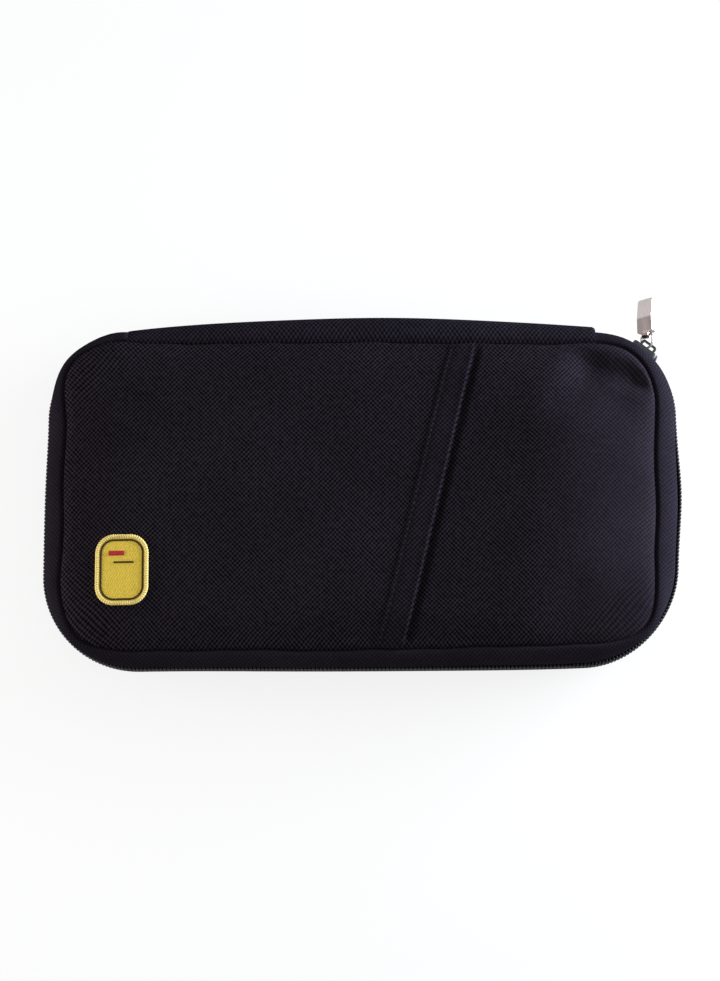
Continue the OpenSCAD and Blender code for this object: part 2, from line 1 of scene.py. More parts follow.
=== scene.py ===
import math

import bmesh
import bpy
import numpy as np
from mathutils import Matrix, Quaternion, Vector


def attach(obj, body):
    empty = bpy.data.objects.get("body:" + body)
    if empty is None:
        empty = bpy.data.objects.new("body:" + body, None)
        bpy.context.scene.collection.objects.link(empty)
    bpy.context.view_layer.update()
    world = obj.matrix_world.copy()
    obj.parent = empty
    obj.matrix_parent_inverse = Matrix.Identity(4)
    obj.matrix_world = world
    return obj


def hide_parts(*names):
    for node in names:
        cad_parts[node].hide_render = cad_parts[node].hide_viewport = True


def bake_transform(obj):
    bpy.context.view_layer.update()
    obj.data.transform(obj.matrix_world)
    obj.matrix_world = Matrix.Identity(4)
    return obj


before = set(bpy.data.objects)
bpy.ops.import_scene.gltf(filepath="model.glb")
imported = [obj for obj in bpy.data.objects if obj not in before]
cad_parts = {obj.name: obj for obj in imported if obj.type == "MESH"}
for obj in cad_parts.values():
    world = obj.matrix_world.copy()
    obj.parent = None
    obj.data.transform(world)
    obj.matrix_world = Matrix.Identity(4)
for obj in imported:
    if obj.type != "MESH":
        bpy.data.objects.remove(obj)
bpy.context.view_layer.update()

# Back cover. A thin foam pad under black woven polyester, cut to the case's round-cornered plan.
# The edge of the cloth is turned down and sewn to the side band, so the pad crowns up from its seam.

zip_z = 12.2  # all sizes are in millimetres; this is the middle of the zip chain above the table
half_w, half_d = 120.0, 65.0  # the zip line, from the middle of the case
spine_corner_r, edge_corner_r = 32.0, 37.0
seam_inset, seam_h, rim_h = 7.65, 9.4, 8.55
seam_half_d = half_d - seam_inset
crown_rise, crown_run, seam_groove = 2.8, 12.0, 1.0
crown_short = 0.8  # the crown is cut lower by this, and the air in the pad makes up for it


def half_width(y, inset):
    """Half the plan's width on the line y: the straight side, less what the corner circle cuts off there."""
    radius = np.where(y > 0, spine_corner_r, edge_corner_r) - inset
    beyond = np.clip(np.abs(y) - (half_d - inset - radius), 0, radius)
    return half_w - inset - radius + np.sqrt(radius**2 - beyond**2)


def from_seam(x, y):
    """Distance in from the cover's seam: the nearest side, or the corner circle's edge within a corner."""
    radius = np.where(y > 0, spine_corner_r, edge_corner_r) - seam_inset
    over_x = np.abs(x) - (half_w - seam_inset - radius)
    over_y = np.abs(y) - (half_d - seam_inset - radius)
    corner = np.hypot(np.maximum(over_x, 0), np.maximum(over_y, 0))
    return np.maximum(radius - corner - np.minimum(np.maximum(over_x, over_y), 0), 0)


def shoulder(distance, run):
    """A quarter ellipse from 0, upright at the seam, to 1 and level a run's length in."""
    return np.sqrt(1 - (1 - np.minimum(distance / run, 1)) ** 2)


def soft_step(value):
    """The smooth step from 0 to 1: three squares less two cubes."""
    value = np.clip(value, 0, 1)
    return value * value * (3 - 2 * value)


def crowded(count):
    """Places from -1 to 1 that crowd towards both ends, as the sine does."""
    return np.sin(np.linspace(-1, 1, count) * np.pi / 2)


def plan_rows(y, shares, inset):
    """A grid over the plan: a row at each y, set out by shares, from -1 to 1, of the half width there."""
    x = shares[None, :] * half_width(y, inset)[:, None]
    return x, np.broadcast_to(y[:, None], x.shape)


def stack(*parts):
    """Joins x, y and z arrays, or u and v arrays, of one grid along a last axis."""
    return np.stack(np.broadcast_arrays(*parts), axis=-1).astype(float)


def sheet_faces(rows, columns):
    """Quads of a closed sheet: an outer grid, the same turned over within, and a wall round their rims."""
    at = np.arange(rows * columns).reshape(rows, columns)
    outer = np.stack([at[:-1, :-1], at[:-1, 1:], at[1:, 1:], at[1:, :-1]], -1).reshape(-1, 4)
    inner = outer[:, ::-1] + rows * columns
    ring = np.concatenate([at[0, :-1], at[:-1, -1], at[-1, :0:-1], at[:0:-1, 0]])
    ahead = np.roll(ring, -1)
    wall = np.stack([ring, ring + rows * columns, ahead + rows * columns, ahead], -1)
    return np.concatenate([outer, inner, wall]).tolist()


# Where the soft case is pressed in or bulges: a place, how far round it that is felt, the push there, and the
# shares of it that the zip and the covers take. The zip keeps its line where the slider runs.
lie = ((112, -50, 24, -1.7, 1.5, 1, 1), (120, 2, 12, 1.3, 0, 1, 0.35), (120, 27, 12, 0.7, 0, 0, 1),
       (112, 57, 13, 0.8, 0.7, 0, 1), (-119, 32, 15, 0.9, 0, 1, 1), (-111, 62, 10, 1.8, -1.8, 1, 1),
       (-70, -65, 30, 0, 0.6, 1, 1))
zip_reach, cover_blend = 3.2, 2.5  # height off the zip plane where its share ends, and of the change


def as_it_lies(x, y, z):
    """The plan as the soft case lies on the table: each push fades round its place by a bell curve."""
    off_zip = soft_step((np.abs(z - zip_z) - zip_reach) / cover_blend)
    for at_x, at_y, reach, push_x, push_y, zip_share, cover_share in lie:
        bell = np.exp(-((x - at_x) ** 2 + (y - at_y) ** 2) / (2 * reach**2))
        bell = bell * (zip_share + (cover_share - zip_share) * off_zip)
        x, y = x + push_x * bell, y + push_y * bell
    return x, y, z


def put_piece(name, points, faces, cloth, material):
    """A smooth-shaded mesh piece from points in millimetres, with its cloth map in millimetres of cloth.

    The plan is moved to how the case lies. The faces are turned outwards by the sign of the closed
    volume that their fans of triangles give.
    """
    points = np.asarray(points, float).reshape(-1, 3)
    points = stack(*as_it_lies(*points.T))
    quads = np.array([face[:4] for face in faces])
    a, b, c, d = (points[quads[:, i]] for i in range(4))
    volume = np.einsum("ij,ij->", a, np.cross(b, c)) + np.einsum("ij,ij->", a, np.cross(c, d))
    if volume < 0:
        faces = [face[::-1] for face in faces]
    mesh = bpy.data.meshes.new(name)
    mesh.from_pydata((points * 0.001).tolist(), [], faces)
    layer = mesh.uv_layers.new(name="cloth")
    corner_points = np.empty(len(mesh.loops), int)
    mesh.loops.foreach_get("vertex_index", corner_points)
    layer.data.foreach_set("uv", np.asarray(cloth, float).reshape(-1, 2)[corner_points].ravel())
    mesh.polygons.foreach_set("use_smooth", np.ones(len(mesh.polygons), bool))
    mesh.materials.append(material)
    mesh.update()
    piece = bpy.data.objects.new(name, mesh)
    bpy.context.scene.collection.objects.link(piece)
    return piece


def put_sheet(name, outer, inner, cloth, material):
    """A closed sheet between an outer and an inner grid of points, with one cloth map for both."""
    rows, columns = outer.shape[:2]
    points = np.concatenate([outer.reshape(-1, 3), inner.reshape(-1, 3)])
    both = np.concatenate([np.asarray(cloth).reshape(-1, 2)] * 2)
    return put_piece(name, points, sheet_faces(rows, columns), both, material)


def dress(piece, body, slot, *nodes):
    """Says which body a piece moves with and the CAD nodes that it replaces, which it hides. The slot
    argument is not used.
    """
    if nodes:
        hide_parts(*nodes)
    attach(piece, body)


def linear(code):
    """An sRGB hex colour as linear red, green, blue and alpha, by the sRGB curve."""
    parts = np.array([int(code[i : i + 2], 16) for i in (1, 3, 5)]) / 255
    flat = np.where(parts <= 0.04045, parts / 12.92, ((parts + 0.055) / 1.055) ** 2.4)
    return (*flat.tolist(), 1.0)


def add(material, kind, inputs=None, **settings):
    """Adds one node, with its settings and its inputs: values, or sockets to link from."""
    made = material.node_tree.nodes.new("ShaderNode" + kind)
    for name, value in settings.items():
        setattr(made, name, value)
    for name, value in (inputs or {}).items():
        if isinstance(value, bpy.types.NodeSocket):
            material.node_tree.links.new(value, made.inputs[name])
        else:
            made.inputs[name].default_value = value
    return made


def bare_material(name):
    """A material with its node tree emptied."""
    material = bpy.data.materials.new(name)
    material.use_nodes = True
    material.node_tree.nodes.clear()
    return material


def close_material(material, colour, rough, finish, height=None, relief=0.0, strength=1.0):
    """Ends a material: its height as a relief in millimetres, the shader with its finish, and the output."""
    inputs = {"Base Color": colour, "Roughness": rough, **finish}
    if height is not None:
        bump = add(material, "Bump", {"Height": height, "Distance": relief * 0.001, "Strength": strength})
        inputs["Normal"] = bump.outputs[0]
    shader = add(material, "BsdfPrincipled", inputs)
    add(material, "OutputMaterial", {"Surface": shader.outputs[0]})


def plain_weave(name, thread, gap, top, relief, rough=0.7, gloss=0.0, wander=0.25, patchy=0.15, rubbed_and_painted_sheen=0.0):
    """Plain-woven cloth: every second crossing of warp and weft is lifted, in line on both diagonals.

    A cosine across each diagonal gives the lift, and a patchy noise lets one diagonal or the other show
    more. The lifted crossings take the lighter colour, painted light on the thread tops, and the sunk ones
    the darker, painted shade in the gaps. A slow noise bends the threads, a fine one makes single threads
    uneven, and a broad one lets the dye vary. From 66 to 110 mm right of the middle the crossings are
    evened out towards a paler middle tone by the given share: a painted sheen, as of light glancing off
    the cloth's right end, which also evens its relief and roughness there.
    """
    cloth = bare_material(name)
    place = add(cloth, "UVMap", uv_map="cloth").outputs["UV"]
    bend = add(cloth, "TexNoise", {"Vector": place, "Scale": 0.07, "Detail": 2.0})
    bent = add(cloth, "VectorMath", {0: bend.outputs["Color"], 1: (wander * 4, wander * 4, 0), 2: place},
               operation="MULTIPLY_ADD")
    along = add(cloth, "SeparateXYZ", {0: bent.outputs[0]})
    diagonals = []
    for operation in ("ADD", "SUBTRACT"):
        slant = add(cloth, "Math", {0: along.outputs["X"], 1: along.outputs["Y"]}, operation=operation)
        phase = add(cloth, "Math", {0: slant.outputs[0], 1: math.pi / thread}, operation="MULTIPLY")
        diagonals.append(add(cloth, "Math", {0: phase.outputs[0]}, operation="COSINE").outputs[0])
    catch = add(cloth, "TexNoise", {"Vector": place, "Scale": 0.12, "Detail": 2.0})
    lean = add(cloth, "MapRange", {"Value": catch.outputs["Fac"], "From Min": 0.38, "From Max": 0.62,
                                   "To Min": 0.39, "To Max": 0.61})
    crossing = add(cloth, "Mix", {0: lean.outputs[0], 2: diagonals[0], 3: diagonals[1]})
    uneven = add(cloth, "TexNoise", {"Vector": place, "Scale": 0.45 / thread, "Detail": 3.0,
                                     "Roughness": 0.65})
    height = add(cloth, "Math", {0: uneven.outputs["Fac"], 1: 1.5, 2: crossing.outputs[0]},
                 operation="MULTIPLY_ADD")
    lifted = add(cloth, "MapRange", {"Value": height.outputs[0], "From Min": 0.15, "From Max": 1.55})
    # painted sheen at the right end: the crossings are evened towards a paler tone, as where light glances
    # off the cloth
    right_end_sheen = add(cloth, "MapRange", {"Value": along.outputs["X"], "From Min": 66.0, "From Max": 110.0,
                                  "To Max": rubbed_and_painted_sheen})
    lifted = add(cloth, "Mix", {0: right_end_sheen.outputs[0], 2: lifted.outputs[0], 3: 0.6})
    # painted light and shade: the lighter colour on the lifted thread tops, the darker in the sunk gaps
    thread_light_and_shade = add(cloth, "Mix", {0: lifted.outputs[0], 6: linear(gap), 7: linear(top)}, data_type="RGBA")
    broad = add(cloth, "TexNoise", {"Vector": place, "Scale": 0.03, "Detail": 4.0, "Roughness": 0.6})
    level = add(cloth, "MapRange", {"Value": broad.outputs["Fac"], "From Min": 0.3, "From Max": 0.7,
                                    "To Min": 1 - patchy, "To Max": 1 + patchy})
    tinted = add(cloth, "VectorMath", {0: thread_light_and_shade.outputs[2], "Scale": level.outputs[0]}, operation="SCALE")
    worn = add(cloth, "MapRange", {"Value": lifted.outputs[0], "To Min": min(rough + 0.12, 1),
                                   "To Max": rough - 0.06})
    close_material(cloth, tinted.outputs[0], worn.outputs[0], {"IOR": 1.5, "Specular IOR Level": gloss},
                   lifted.outputs[0], relief)
    return cloth


# Black polyester in a plain weave of coarse yarn, 0.86 mm from thread to thread: matt, with a fine
# checker of painted light on the thread tops and painted shade in the gaps, a violet cast, and a painted
# sheen that evens and pales the weave at the right end.
yarn = 0.86
shell_cloth = plain_weave("woven_polyester_black", yarn, "#09070a", "#2e2931", 0.03, rubbed_and_painted_sheen=0.5)


def ripple(x, y, size):
    """Slow unevenness of padded cloth: two crossed sine waves of unlike length, a few tenths of the size."""
    return size * (0.6 * np.sin(x / 23 + 1.3) * np.sin(y / 17 + 0.4) + 0.4 * np.sin(x / 11 - y / 19 + 2))


def pad_floor(distance):
    """Height of the pad's flat inner side, which dips towards the seam so that the groove stays above it."""
    return rim_h - 0.55 * (1 - soft_step(distance / 3))


def blown_up(rise, depth=3.0, pressure=2.0, frames=20, cap=1.2):
    """How far a pad's skin moves when it is blown up as cloth, on an even grid over the plan inside the seam.

    rise gives the skin's height over the seam, and the floor lies a depth under it. The rim and the floor
    are held and air presses on the cloth from within; a move is eased so that it never passes the cap.
    """
    x, y = plan_rows(np.linspace(-1, 1, 53) * seam_half_d, np.linspace(-1, 1, 93), seam_inset)
    skin, floor = stack(x, y, rise(x, y)), stack(x, y, -depth)
    points = np.concatenate([skin.reshape(-1, 3), floor.reshape(-1, 3)]) * 0.001
    mesh = bpy.data.meshes.new("pad_skin")
    mesh.from_pydata(points.tolist(), [], sheet_faces(*x.shape))
    pad = bpy.data.objects.new("pad_skin", mesh)
    bpy.context.scene.collection.objects.link(pad)
    free = np.zeros((2, *x.shape), bool)
    free[0, 1:-1, 1:-1] = True
    pad.vertex_groups.new(name="sewn_down").add(np.flatnonzero(~free).tolist(), 1.0, "REPLACE")
    cloth = pad.modifiers.new("cloth", "CLOTH").settings
    cloth.vertex_group_mass = "sewn_down"
    cloth.use_pressure, cloth.uniform_pressure_force = True, pressure
    cloth.effector_weights.gravity = 0
    cloth.tension_stiffness = cloth.compression_stiffness = 80
    cloth.shear_stiffness, cloth.bending_stiffness = 27, 0.5
    for step in range(1, frames + 1):
        bpy.context.scene.frame_set(step)
    swollen = np.empty(points.size)
    pad.evaluated_get(bpy.context.evaluated_depsgraph_get()).data.vertices.foreach_get("co", swollen)
    bpy.data.objects.remove(pad)
    bpy.context.scene.frame_set(1)
    moved = (swollen.reshape(-1, 3) - points)[: x.size].reshape(skin.shape) * 1000
    return moved * cap / np.sqrt(cap**2 + np.sum(moved**2, axis=-1, keepdims=True))


def swell(moved, x, y):
    """The cloth's move at any place on the plan: a cubic spline over the grid, nil at the seam."""
    rows, columns = moved.shape[:2]
    at_row = (y / seam_half_d + 1) / 2 * (rows - 1)
    at_column = (x / half_width(y, seam_inset) + 1) / 2 * (columns - 1)
    total = np.zeros((*np.shape(x), 3))
    for down in range(-1, 3):
        for along in range(-1, 3):
            row = np.clip(np.floor(at_row).astype(int) + down, 0, rows - 1)
            column = np.clip(np.floor(at_column).astype(int) + along, 0, columns - 1)
            share = np.ones(np.shape(x))
            for off in (at_row % 1 - down, at_column % 1 - along):
                near, far = 4 - 6 * off**2 + 3 * np.abs(off) ** 3, (2 - np.abs(off)) ** 3
                share = share * np.where(np.abs(off) < 1, near, far) / 6
            total += share[..., None] * moved[row, column]
    return total * soft_step(from_seam(x, y) / 3)[..., None]


def back_rise(x, y):
    """Height of the back pad over its seam before it is blown up: a crown, cut short, less slow ripples."""
    crown = (crown_rise - crown_short + seam_groove) * shoulder(from_seam(x, y), crown_run) - seam_groove
    return crown - np.abs(ripple(x, y, 0.12))


back_x, back_y = plan_rows(crowded(69) * seam_half_d, crowded(113), seam_inset)
back_swell = swell(blown_up(back_rise), back_x, back_y)
back_height = np.minimum(back_rise(back_x, back_y) + back_swell[..., 2], crown_rise)  # flat on the table
back_skin = stack(back_x + back_swell[..., 0], back_y + back_swell[..., 1], zip_z - seam_h - back_height)
back_floor = stack(back_x, back_y, zip_z - pad_floor(from_seam(back_x, back_y)))
back_cover = put_sheet("back_cover", back_skin, back_floor, stack(back_x, back_y), shell_cloth)
dress(back_cover, "back", "woven_shell", "back_panel", "back_foam")

# Side bands. A strip of the same polyester runs round three sides and the four corners of each cover.
# It is sewn to the cover along one edge, rolls over, and is sewn to the zip tape along the other.

band_inset, band_foot, band_t = 1.4, 4.5, 1.0
roll_in, lined_in = 7.7, 7.6  # insets, at the cover's seam, of the band's roll and of what lies behind it
spine_seam_y = 57.4
corner_x, corner_y, corner_reach = 104, 49.5, 11  # where the settled cover's corners are pushed out


def run_along(points):
    """The distance run along a row of points, from nil at the first."""
    return np.concatenate([[0], np.cumsum(np.linalg.norm(np.diff(points, axis=0), axis=1))])


def on_circle(turn):
    """The way outwards at each angle: its cosine and its sine."""
    return stack(np.cos(turn), np.sin(turn))


def tube_faces(stations, around, ring=False):
    """Quads of a loop carried along a path, wrapped round the loop; an open path gets a cap at each end."""
    at = np.arange(stations * around).reshape(stations, around)
    rows = np.concatenate([at, at[:1]]) if ring else at
    here, there = rows[:-1], rows[1:]
    quads = np.stack([here, np.roll(here, -1, 1), np.roll(there, -1, 1), there], -1).reshape(-1, 4).tolist()
    return quads if ring else quads + [at[0, ::-1].tolist(), at[-1].tolist()]


def zip_line(step, first_angle=90.0, along_spine=False):
    """The zip line from the spine's right end round the case: corner circles and straight sides, joined.

    Gives the points, the way outwards at each, and the distance run.
    """
    x_s, y_s = half_w - spine_corner_r, half_d - spine_corner_r
    x_e, y_e = half_w - edge_corner_r, half_d - edge_corner_r
    corners = [(x_s, y_s, spine_corner_r, first_angle, 0.0), (x_e, -y_e, edge_corner_r, 0.0, -90.0),
               (-x_e, -y_e, edge_corner_r, -90.0, -180.0), (-x_s, y_s, spine_corner_r, -180.0, -270.0)]
    points, ways = [], []
    for x, y, radius, start, end in corners:
        count = max(int(math.radians(abs(end - start)) * radius / step), 4)
        way = on_circle(np.radians(np.linspace(start, end, count)))
        arc = np.array([x, y]) + radius * way
        if points:
            last = points[-1][-1]
            share = np.linspace(0, 1, max(int(np.linalg.norm(arc[0] - last) / step), 2) + 1)[1:-1, None]
            points.append(last + share * (arc[0] - last))
            ways.append(np.broadcast_to(way[0], points[-1].shape))
        points.append(arc)
        ways.append(way)
    if along_spine:
        share = np.linspace(0, 1, int(2 * x_s / step))[1:-1, None]
        points.append(points[-1][-1] + share * (points[0][0] - points[-1][-1]))
        ways.append(np.broadcast_to(ways[-1][-1], points[-1].shape))
    points, ways = np.concatenate(points), np.concatenate(ways)
    return points, ways, run_along(points)


def slid_up(x, y):
    """How far the closed front cover has slid towards the spine: more near it, and less at the right."""
    return 1.1 + 0.031 * y - 0.017 * np.maximum(x, 0) * y / spine_seam_y


def settle(x, y, share):
    """Where the closed front cover has come to rest: slid over the zip towards the spine and the left.

    Its corners are pushed outwards by a bell curve each, unlike far, and two sine waves pucker its seam. The
    share is 1 at the seam. It counts twice in the corners, so that the band's foot stays on the zip there.
    """
    near = 1 - soft_step(from_seam(x, y) / 12)
    far = np.where(y > 0, 1.4 + 2.4 * soft_step(-x / 60), 2.6 + 1.6 * soft_step(x / 60))
    off_corner = (np.abs(x) - corner_x) ** 2 + (np.abs(y) - corner_y) ** 2
    corner = share * far * near * np.exp(-off_corner / (2 * corner_reach**2))
    pucker_x = 0.3 * near * np.sin(y / 6.5 + x / 40)
    pucker_y = near * (0.22 * np.sin(x / 7 + 1) + 0.15 * np.sin(x / 3.1))
    return (x + share * (corner * np.sign(x) + pucker_x - 0.93 - 0.016 * x),
            y + share * (corner * np.sign(y) + pucker_y + slid_up(x, y)))


def put_carried(name, line, profile, side, material, slide=None, ring=False):
    """A closed profile of inset and height, carried along the zip line above (1) or below (-1) the zip plane.

    slide gives each point of the profile its share of settling.
    """
    points, ways, run = line
    plan = points[:, None] - profile[None, :, :1] * ways[:, None]
    x, y = plan[..., 0], plan[..., 1]
    if slide is not None:
        x, y = settle(x, y, slide[None, :])
    cloth = stack(run[:, None], run_along(profile)[None, :])
    faces = tube_faces(len(points), len(profile), ring)
    return put_piece(name, stack(x, y, zip_z + side * profile[None, :, 1]), faces, cloth, material)


def up_band(profile):
    """How far up the band each point of a profile lies: a smooth step from its foot to the cover's seam."""
    return soft_step((profile[:, 1] - band_foot) / (seam_h - band_foot))


roll_turn = np.linspace(0, 1, 17) ** 1.4 * np.pi / 2
roll_at = roll_in - (roll_in - band_inset) * np.sin(roll_turn)
roll_dip = 1.1 * np.exp(-(((roll_in - roll_at) / 0.75) ** 2))  # the roll dives into the groove of its seam
roll_outer = stack(roll_at, band_foot + (seam_h + 0.25 - band_foot) * np.cos(roll_turn) ** 0.85 - roll_dip)
foot_hem = np.array([[1.45, 4.45], [1.8, 4.38], [2.2, 4.45]])
roll_inner = stack(lined_in - (lined_in - band_inset - band_t) * np.sin(roll_turn),
                   band_foot + (seam_h - 1.6 - band_foot) * np.cos(roll_turn))
band_profile = np.concatenate([roll_outer, foot_hem, roll_inner[::-1]])
foot_slide = 0.3  # the band's foot is drawn in by this share, so that the zip shows beside it
band_slide = foot_slide + (1 - foot_slide) * up_band(band_profile)
band_line = zip_line(2.2)
# The band is the same yarn as the covers, pulled smoother over its roll, so its weave shows less.
band_cloth = plain_weave("woven_polyester_band", yarn, "#18151a", "#242028", 0.025)
for side, cover, slide in ((-1, "back", None), (1, "front", band_slide)):
    band = put_carried(cover + "_side_band", band_line, band_profile, side, band_cloth, slide)
    dress(band, cover, "band_fabric", cover + "_band")

# Zip tapes and teeth. A coil zip: a narrow woven tape behind each band's edge, and along its rim a
# black nylon monofilament wound to a coil, whose turns stand as a row of small rounded teeth.

tape_inset, tape_t, chain_gap = 2.45, 0.6, 0.45
tooth_pitch, tooth_r = 1.45, 0.85  # pitch as in the photograph
tooth_h, tooth_long, tooth_mid = 2.75, 1.22, 1.27
free_to, joined_from = 36.2, 37.2  # degrees up the right corner, where the slider waits


def twill(name, rib, gap, top, relief, rough=0.75, gloss=0.05, lean=1.0):
    """Twill or ribbed tape: a sine along a slanted line of the cloth makes ribs, and noise frays them. The
    rib tops take the lighter colour, painted light, and the grooves the darker, painted shade.
    """
    cloth = bare_material(name)
    place = add(cloth, "UVMap", uv_map="cloth").outputs["UV"]
    along = add(cloth, "SeparateXYZ", {0: place})
    slant = add(cloth, "Math", {0: along.outputs["Y"], 1: lean, 2: along.outputs["X"]},
                operation="MULTIPLY_ADD")
    phase = add(cloth, "Math", {0: slant.outputs[0], 1: 2 * math.pi / rib}, operation="MULTIPLY")
    wave = add(cloth, "Math", {0: phase.outputs[0]}, operation="SINE")
    fray = add(cloth, "TexNoise", {"Vector": place, "Scale": 0.6 / rib, "Detail": 3.0, "Roughness": 0.6})
    height = add(cloth, "Math", {0: fray.outputs["Fac"], 1: 1.4, 2: wave.outputs[0]},
                 operation="MULTIPLY_ADD")
    lifted = add(cloth, "MapRange", {"Value": height.outputs[0], "From Min": -0.5, "From Max": 1.9})
    # painted light and shade: the lighter colour on the rib tops, the darker in the grooves
    thread_light_and_shade = add(cloth, "Mix", {0: lifted.outputs[0], 6: linear(gap), 7: linear(top)}, data_type="RGBA")
    worn = add(cloth, "MapRange", {"Value": fray.outputs["Fac"], "To Min": rough - 0.1,
                                   "To Max": rough + 0.1})
    close_material(cloth, thread_light_and_shade.outputs[2], worn.outputs[0], {"IOR": 1.5, "Specular IOR Level": gloss},
                   lifted.outputs[0], relief)
    return cloth


def hard_coat(name, scale, detail, dull, bright, rough, finish, relief=0.0, strength=1.0):
    """Smooth plastic or enamel: one noise, scale waves to the metre, varies colour, gloss and relief."""
    coat = bare_material(name)
    spot = add(coat, "TexCoord").outputs["Object"]
    fine = add(coat, "TexNoise", {"Vector": spot, "Scale": scale, "Detail": detail}).outputs["Fac"]
    colour = add(coat, "Mix", {0: fine, 6: linear(dull), 7: linear(bright)}, data_type="RGBA")
    worn = add(coat, "MapRange", {"Value": fine, "To Min": rough[0], "To Max": rough[1]})
    close_material(coat, colour.outputs[2], worn.outputs[0], finish, fine if relief else None, relief,
                   strength)
    return coat


def pill(length, width, depth, around=8, along=5, square=2.0):
    """A small rounded bar along its third axis: ellipses that shrink to its ends as a fourth-power curve.

    A square above 2 makes each ellipse a fuller, squarer oval.
    """
    share = np.linspace(-1, 1, along)
    size = (1 - 0.82 * np.abs(share) ** 4) ** 0.5
    turn = (np.arange(around) + 0.5) * 2 * np.pi / around
    wide, deep = (np.sign(wave) * np.abs(wave) ** (2 / square) for wave in (np.cos(turn), np.sin(turn)))
    bar = stack(size[:, None] * wide * width / 2, size[:, None] * deep * depth / 2,
                share[:, None] * length / 2)
    return bar.reshape(-1, 3), tube_faces(along, around)


def put_row(name, shape, places, axes, material):
    """One small shape repeated at many places: each copy's three axes are rows of its own frame."""
    points, faces = shape
    copies = places[:, None] + np.einsum("pi,nij->npj", points, axes)
    shift = np.arange(len(places)) * len(points)
    every = [[corner + start for corner in face] for start in shift.tolist() for face in faces]
    cloth = np.broadcast_to(points[None, :, 1:], (len(places), len(points), 2))
    return put_piece(name, copies, every, cloth, material)


def at_stops(stops, run, values):
    """Values at stops along a row of points, by straight interpolation over the distance run."""
    return stack(*(np.interp(stops, run, column) for column in values.T))


def put_teeth(name, line, side, offset, material):
    """Teeth along the zip line, each a rounded bar that stands from its tape to the middle of the chain."""
    points, ways, run = line
    stops = np.arange(offset, run[-1], tooth_pitch)
    way = at_stops(stops, run, ways)
    way /= np.linalg.norm(way, axis=1, keepdims=True)
    centre = at_stops(stops, run, points) - way * (tape_inset - tooth_r - 0.02)
    spots = stack(centre[:, 0], centre[:, 1], zip_z + side * tooth_mid)
    outward, ahead = stack(way[:, 0], way[:, 1], 0), stack(way[:, 1], -way[:, 0], 0)
    axes = np.stack([outward, ahead, np.broadcast_to([0.0, 0.0, 1.0], ahead.shape)], axis=1)
    return put_row(name, pill(tooth_h, 2 * tooth_r, tooth_long, square=3.5), spots, axes, material)


# Woven polyester zip tape: a fine diagonal rib, drawn 0.9 mm wide so that it shows, and nearly black.
tape_cloth = twill("woven_zip_tape_black", 0.9, "#040405", "#0e0d10", 0.06, gloss=0.0)
# Nylon monofilament: smooth black plastic, softly glossy, slightly paler where the turns rub.
teeth_nylon = hard_coat("nylon_coil_black", 900.0, 3.0, "#050506", "#121115", (0.4, 0.6),
                        {"IOR": 1.53, "Specular IOR Level": 0.15})

tape_turn = np.radians(np.linspace(35, 90, 6))
tape_over = stack(lined_in - (lined_in - tape_inset) * np.sin(tape_turn),
                  band_foot + (seam_h - band_foot - 1.05) * np.cos(tape_turn))
tape_under = tape_over + np.array([tape_t, -0.15])
tape_back = tape_inset + tape_t
tape_profile = np.concatenate([tape_over, [[tape_inset, 2.0], [tape_inset, chain_gap]],
                               [[tape_back, chain_gap], [tape_back, 2.0]], tape_under[::-1]])
tape_slide = up_band(tape_profile)  # the sewn edge goes with the band
joined_profile = np.array([[tape_inset, chain_gap], [tape_inset, 2.2], [tape_inset, 3.95],
                           [tape_back, 3.95], [tape_back, 2.2], [tape_back, chain_gap]])
free_line = zip_line(2.2, first_angle=free_to)
joined_turn = np.radians(np.linspace(90, joined_from, 26))
joined_way = on_circle(joined_turn)
joined_line = (np.array([half_w - spine_corner_r, half_d - spine_corner_r]) + spine_corner_r * joined_way,
               joined_way, (np.pi / 2 - joined_turn) * spine_corner_r)
for name, line, profile, side, body, offset, slide in (
        ("back_zip", band_line, tape_profile, -1, "back", 0.3, None),
        ("front_zip", free_line, tape_profile, 1, "front", 0.05, tape_slide),
        ("joined_zip", joined_line, joined_profile, 1, "back", 0.3 + tooth_pitch / 2, None)):
    tape = put_carried(name + "_tape_cloth", line, profile, side, tape_cloth, slide)
    dress(tape, body, "zip_tape", name + "_tape")
    teeth = put_teeth(name + "_teeth", line, side, offset, teeth_nylon)
    dress(teeth, body, "zip_coil", name + "_coil")

# Linings and bound seams. Each cover is lined with smooth nylon taffeta; inside, the raw seam edges
# of cover, band and lining are folded into a narrow binding tape that stands up all round.

# Taffeta: a tight plain weave of fine filament, drawn at 0.6 mm so that it shows, with a soft gloss.
taffeta = {"rough": 0.68, "gloss": 0.06, "patchy": 0.1}
lining_cloth = plain_weave("nylon_taffeta_charcoal", 0.6, "#1f1f23", "#3a3a41", 0.05, **taffeta)
# Binding tape: ribbed across its width every 1 mm and black, a little glossier than the shell.
binding_cloth = twill("ribbed_binding_black", 1.0, "#0b0b0d", "#26242a", 0.1, lean=0.0)


def put_flat(name, x, y, face, back, material):
    """A flat closed sheet on one grid of the plan, between the heights of its face and of its back."""
    return put_sheet(name, stack(x, y, face), stack(x, y, back), stack(x, y), material)


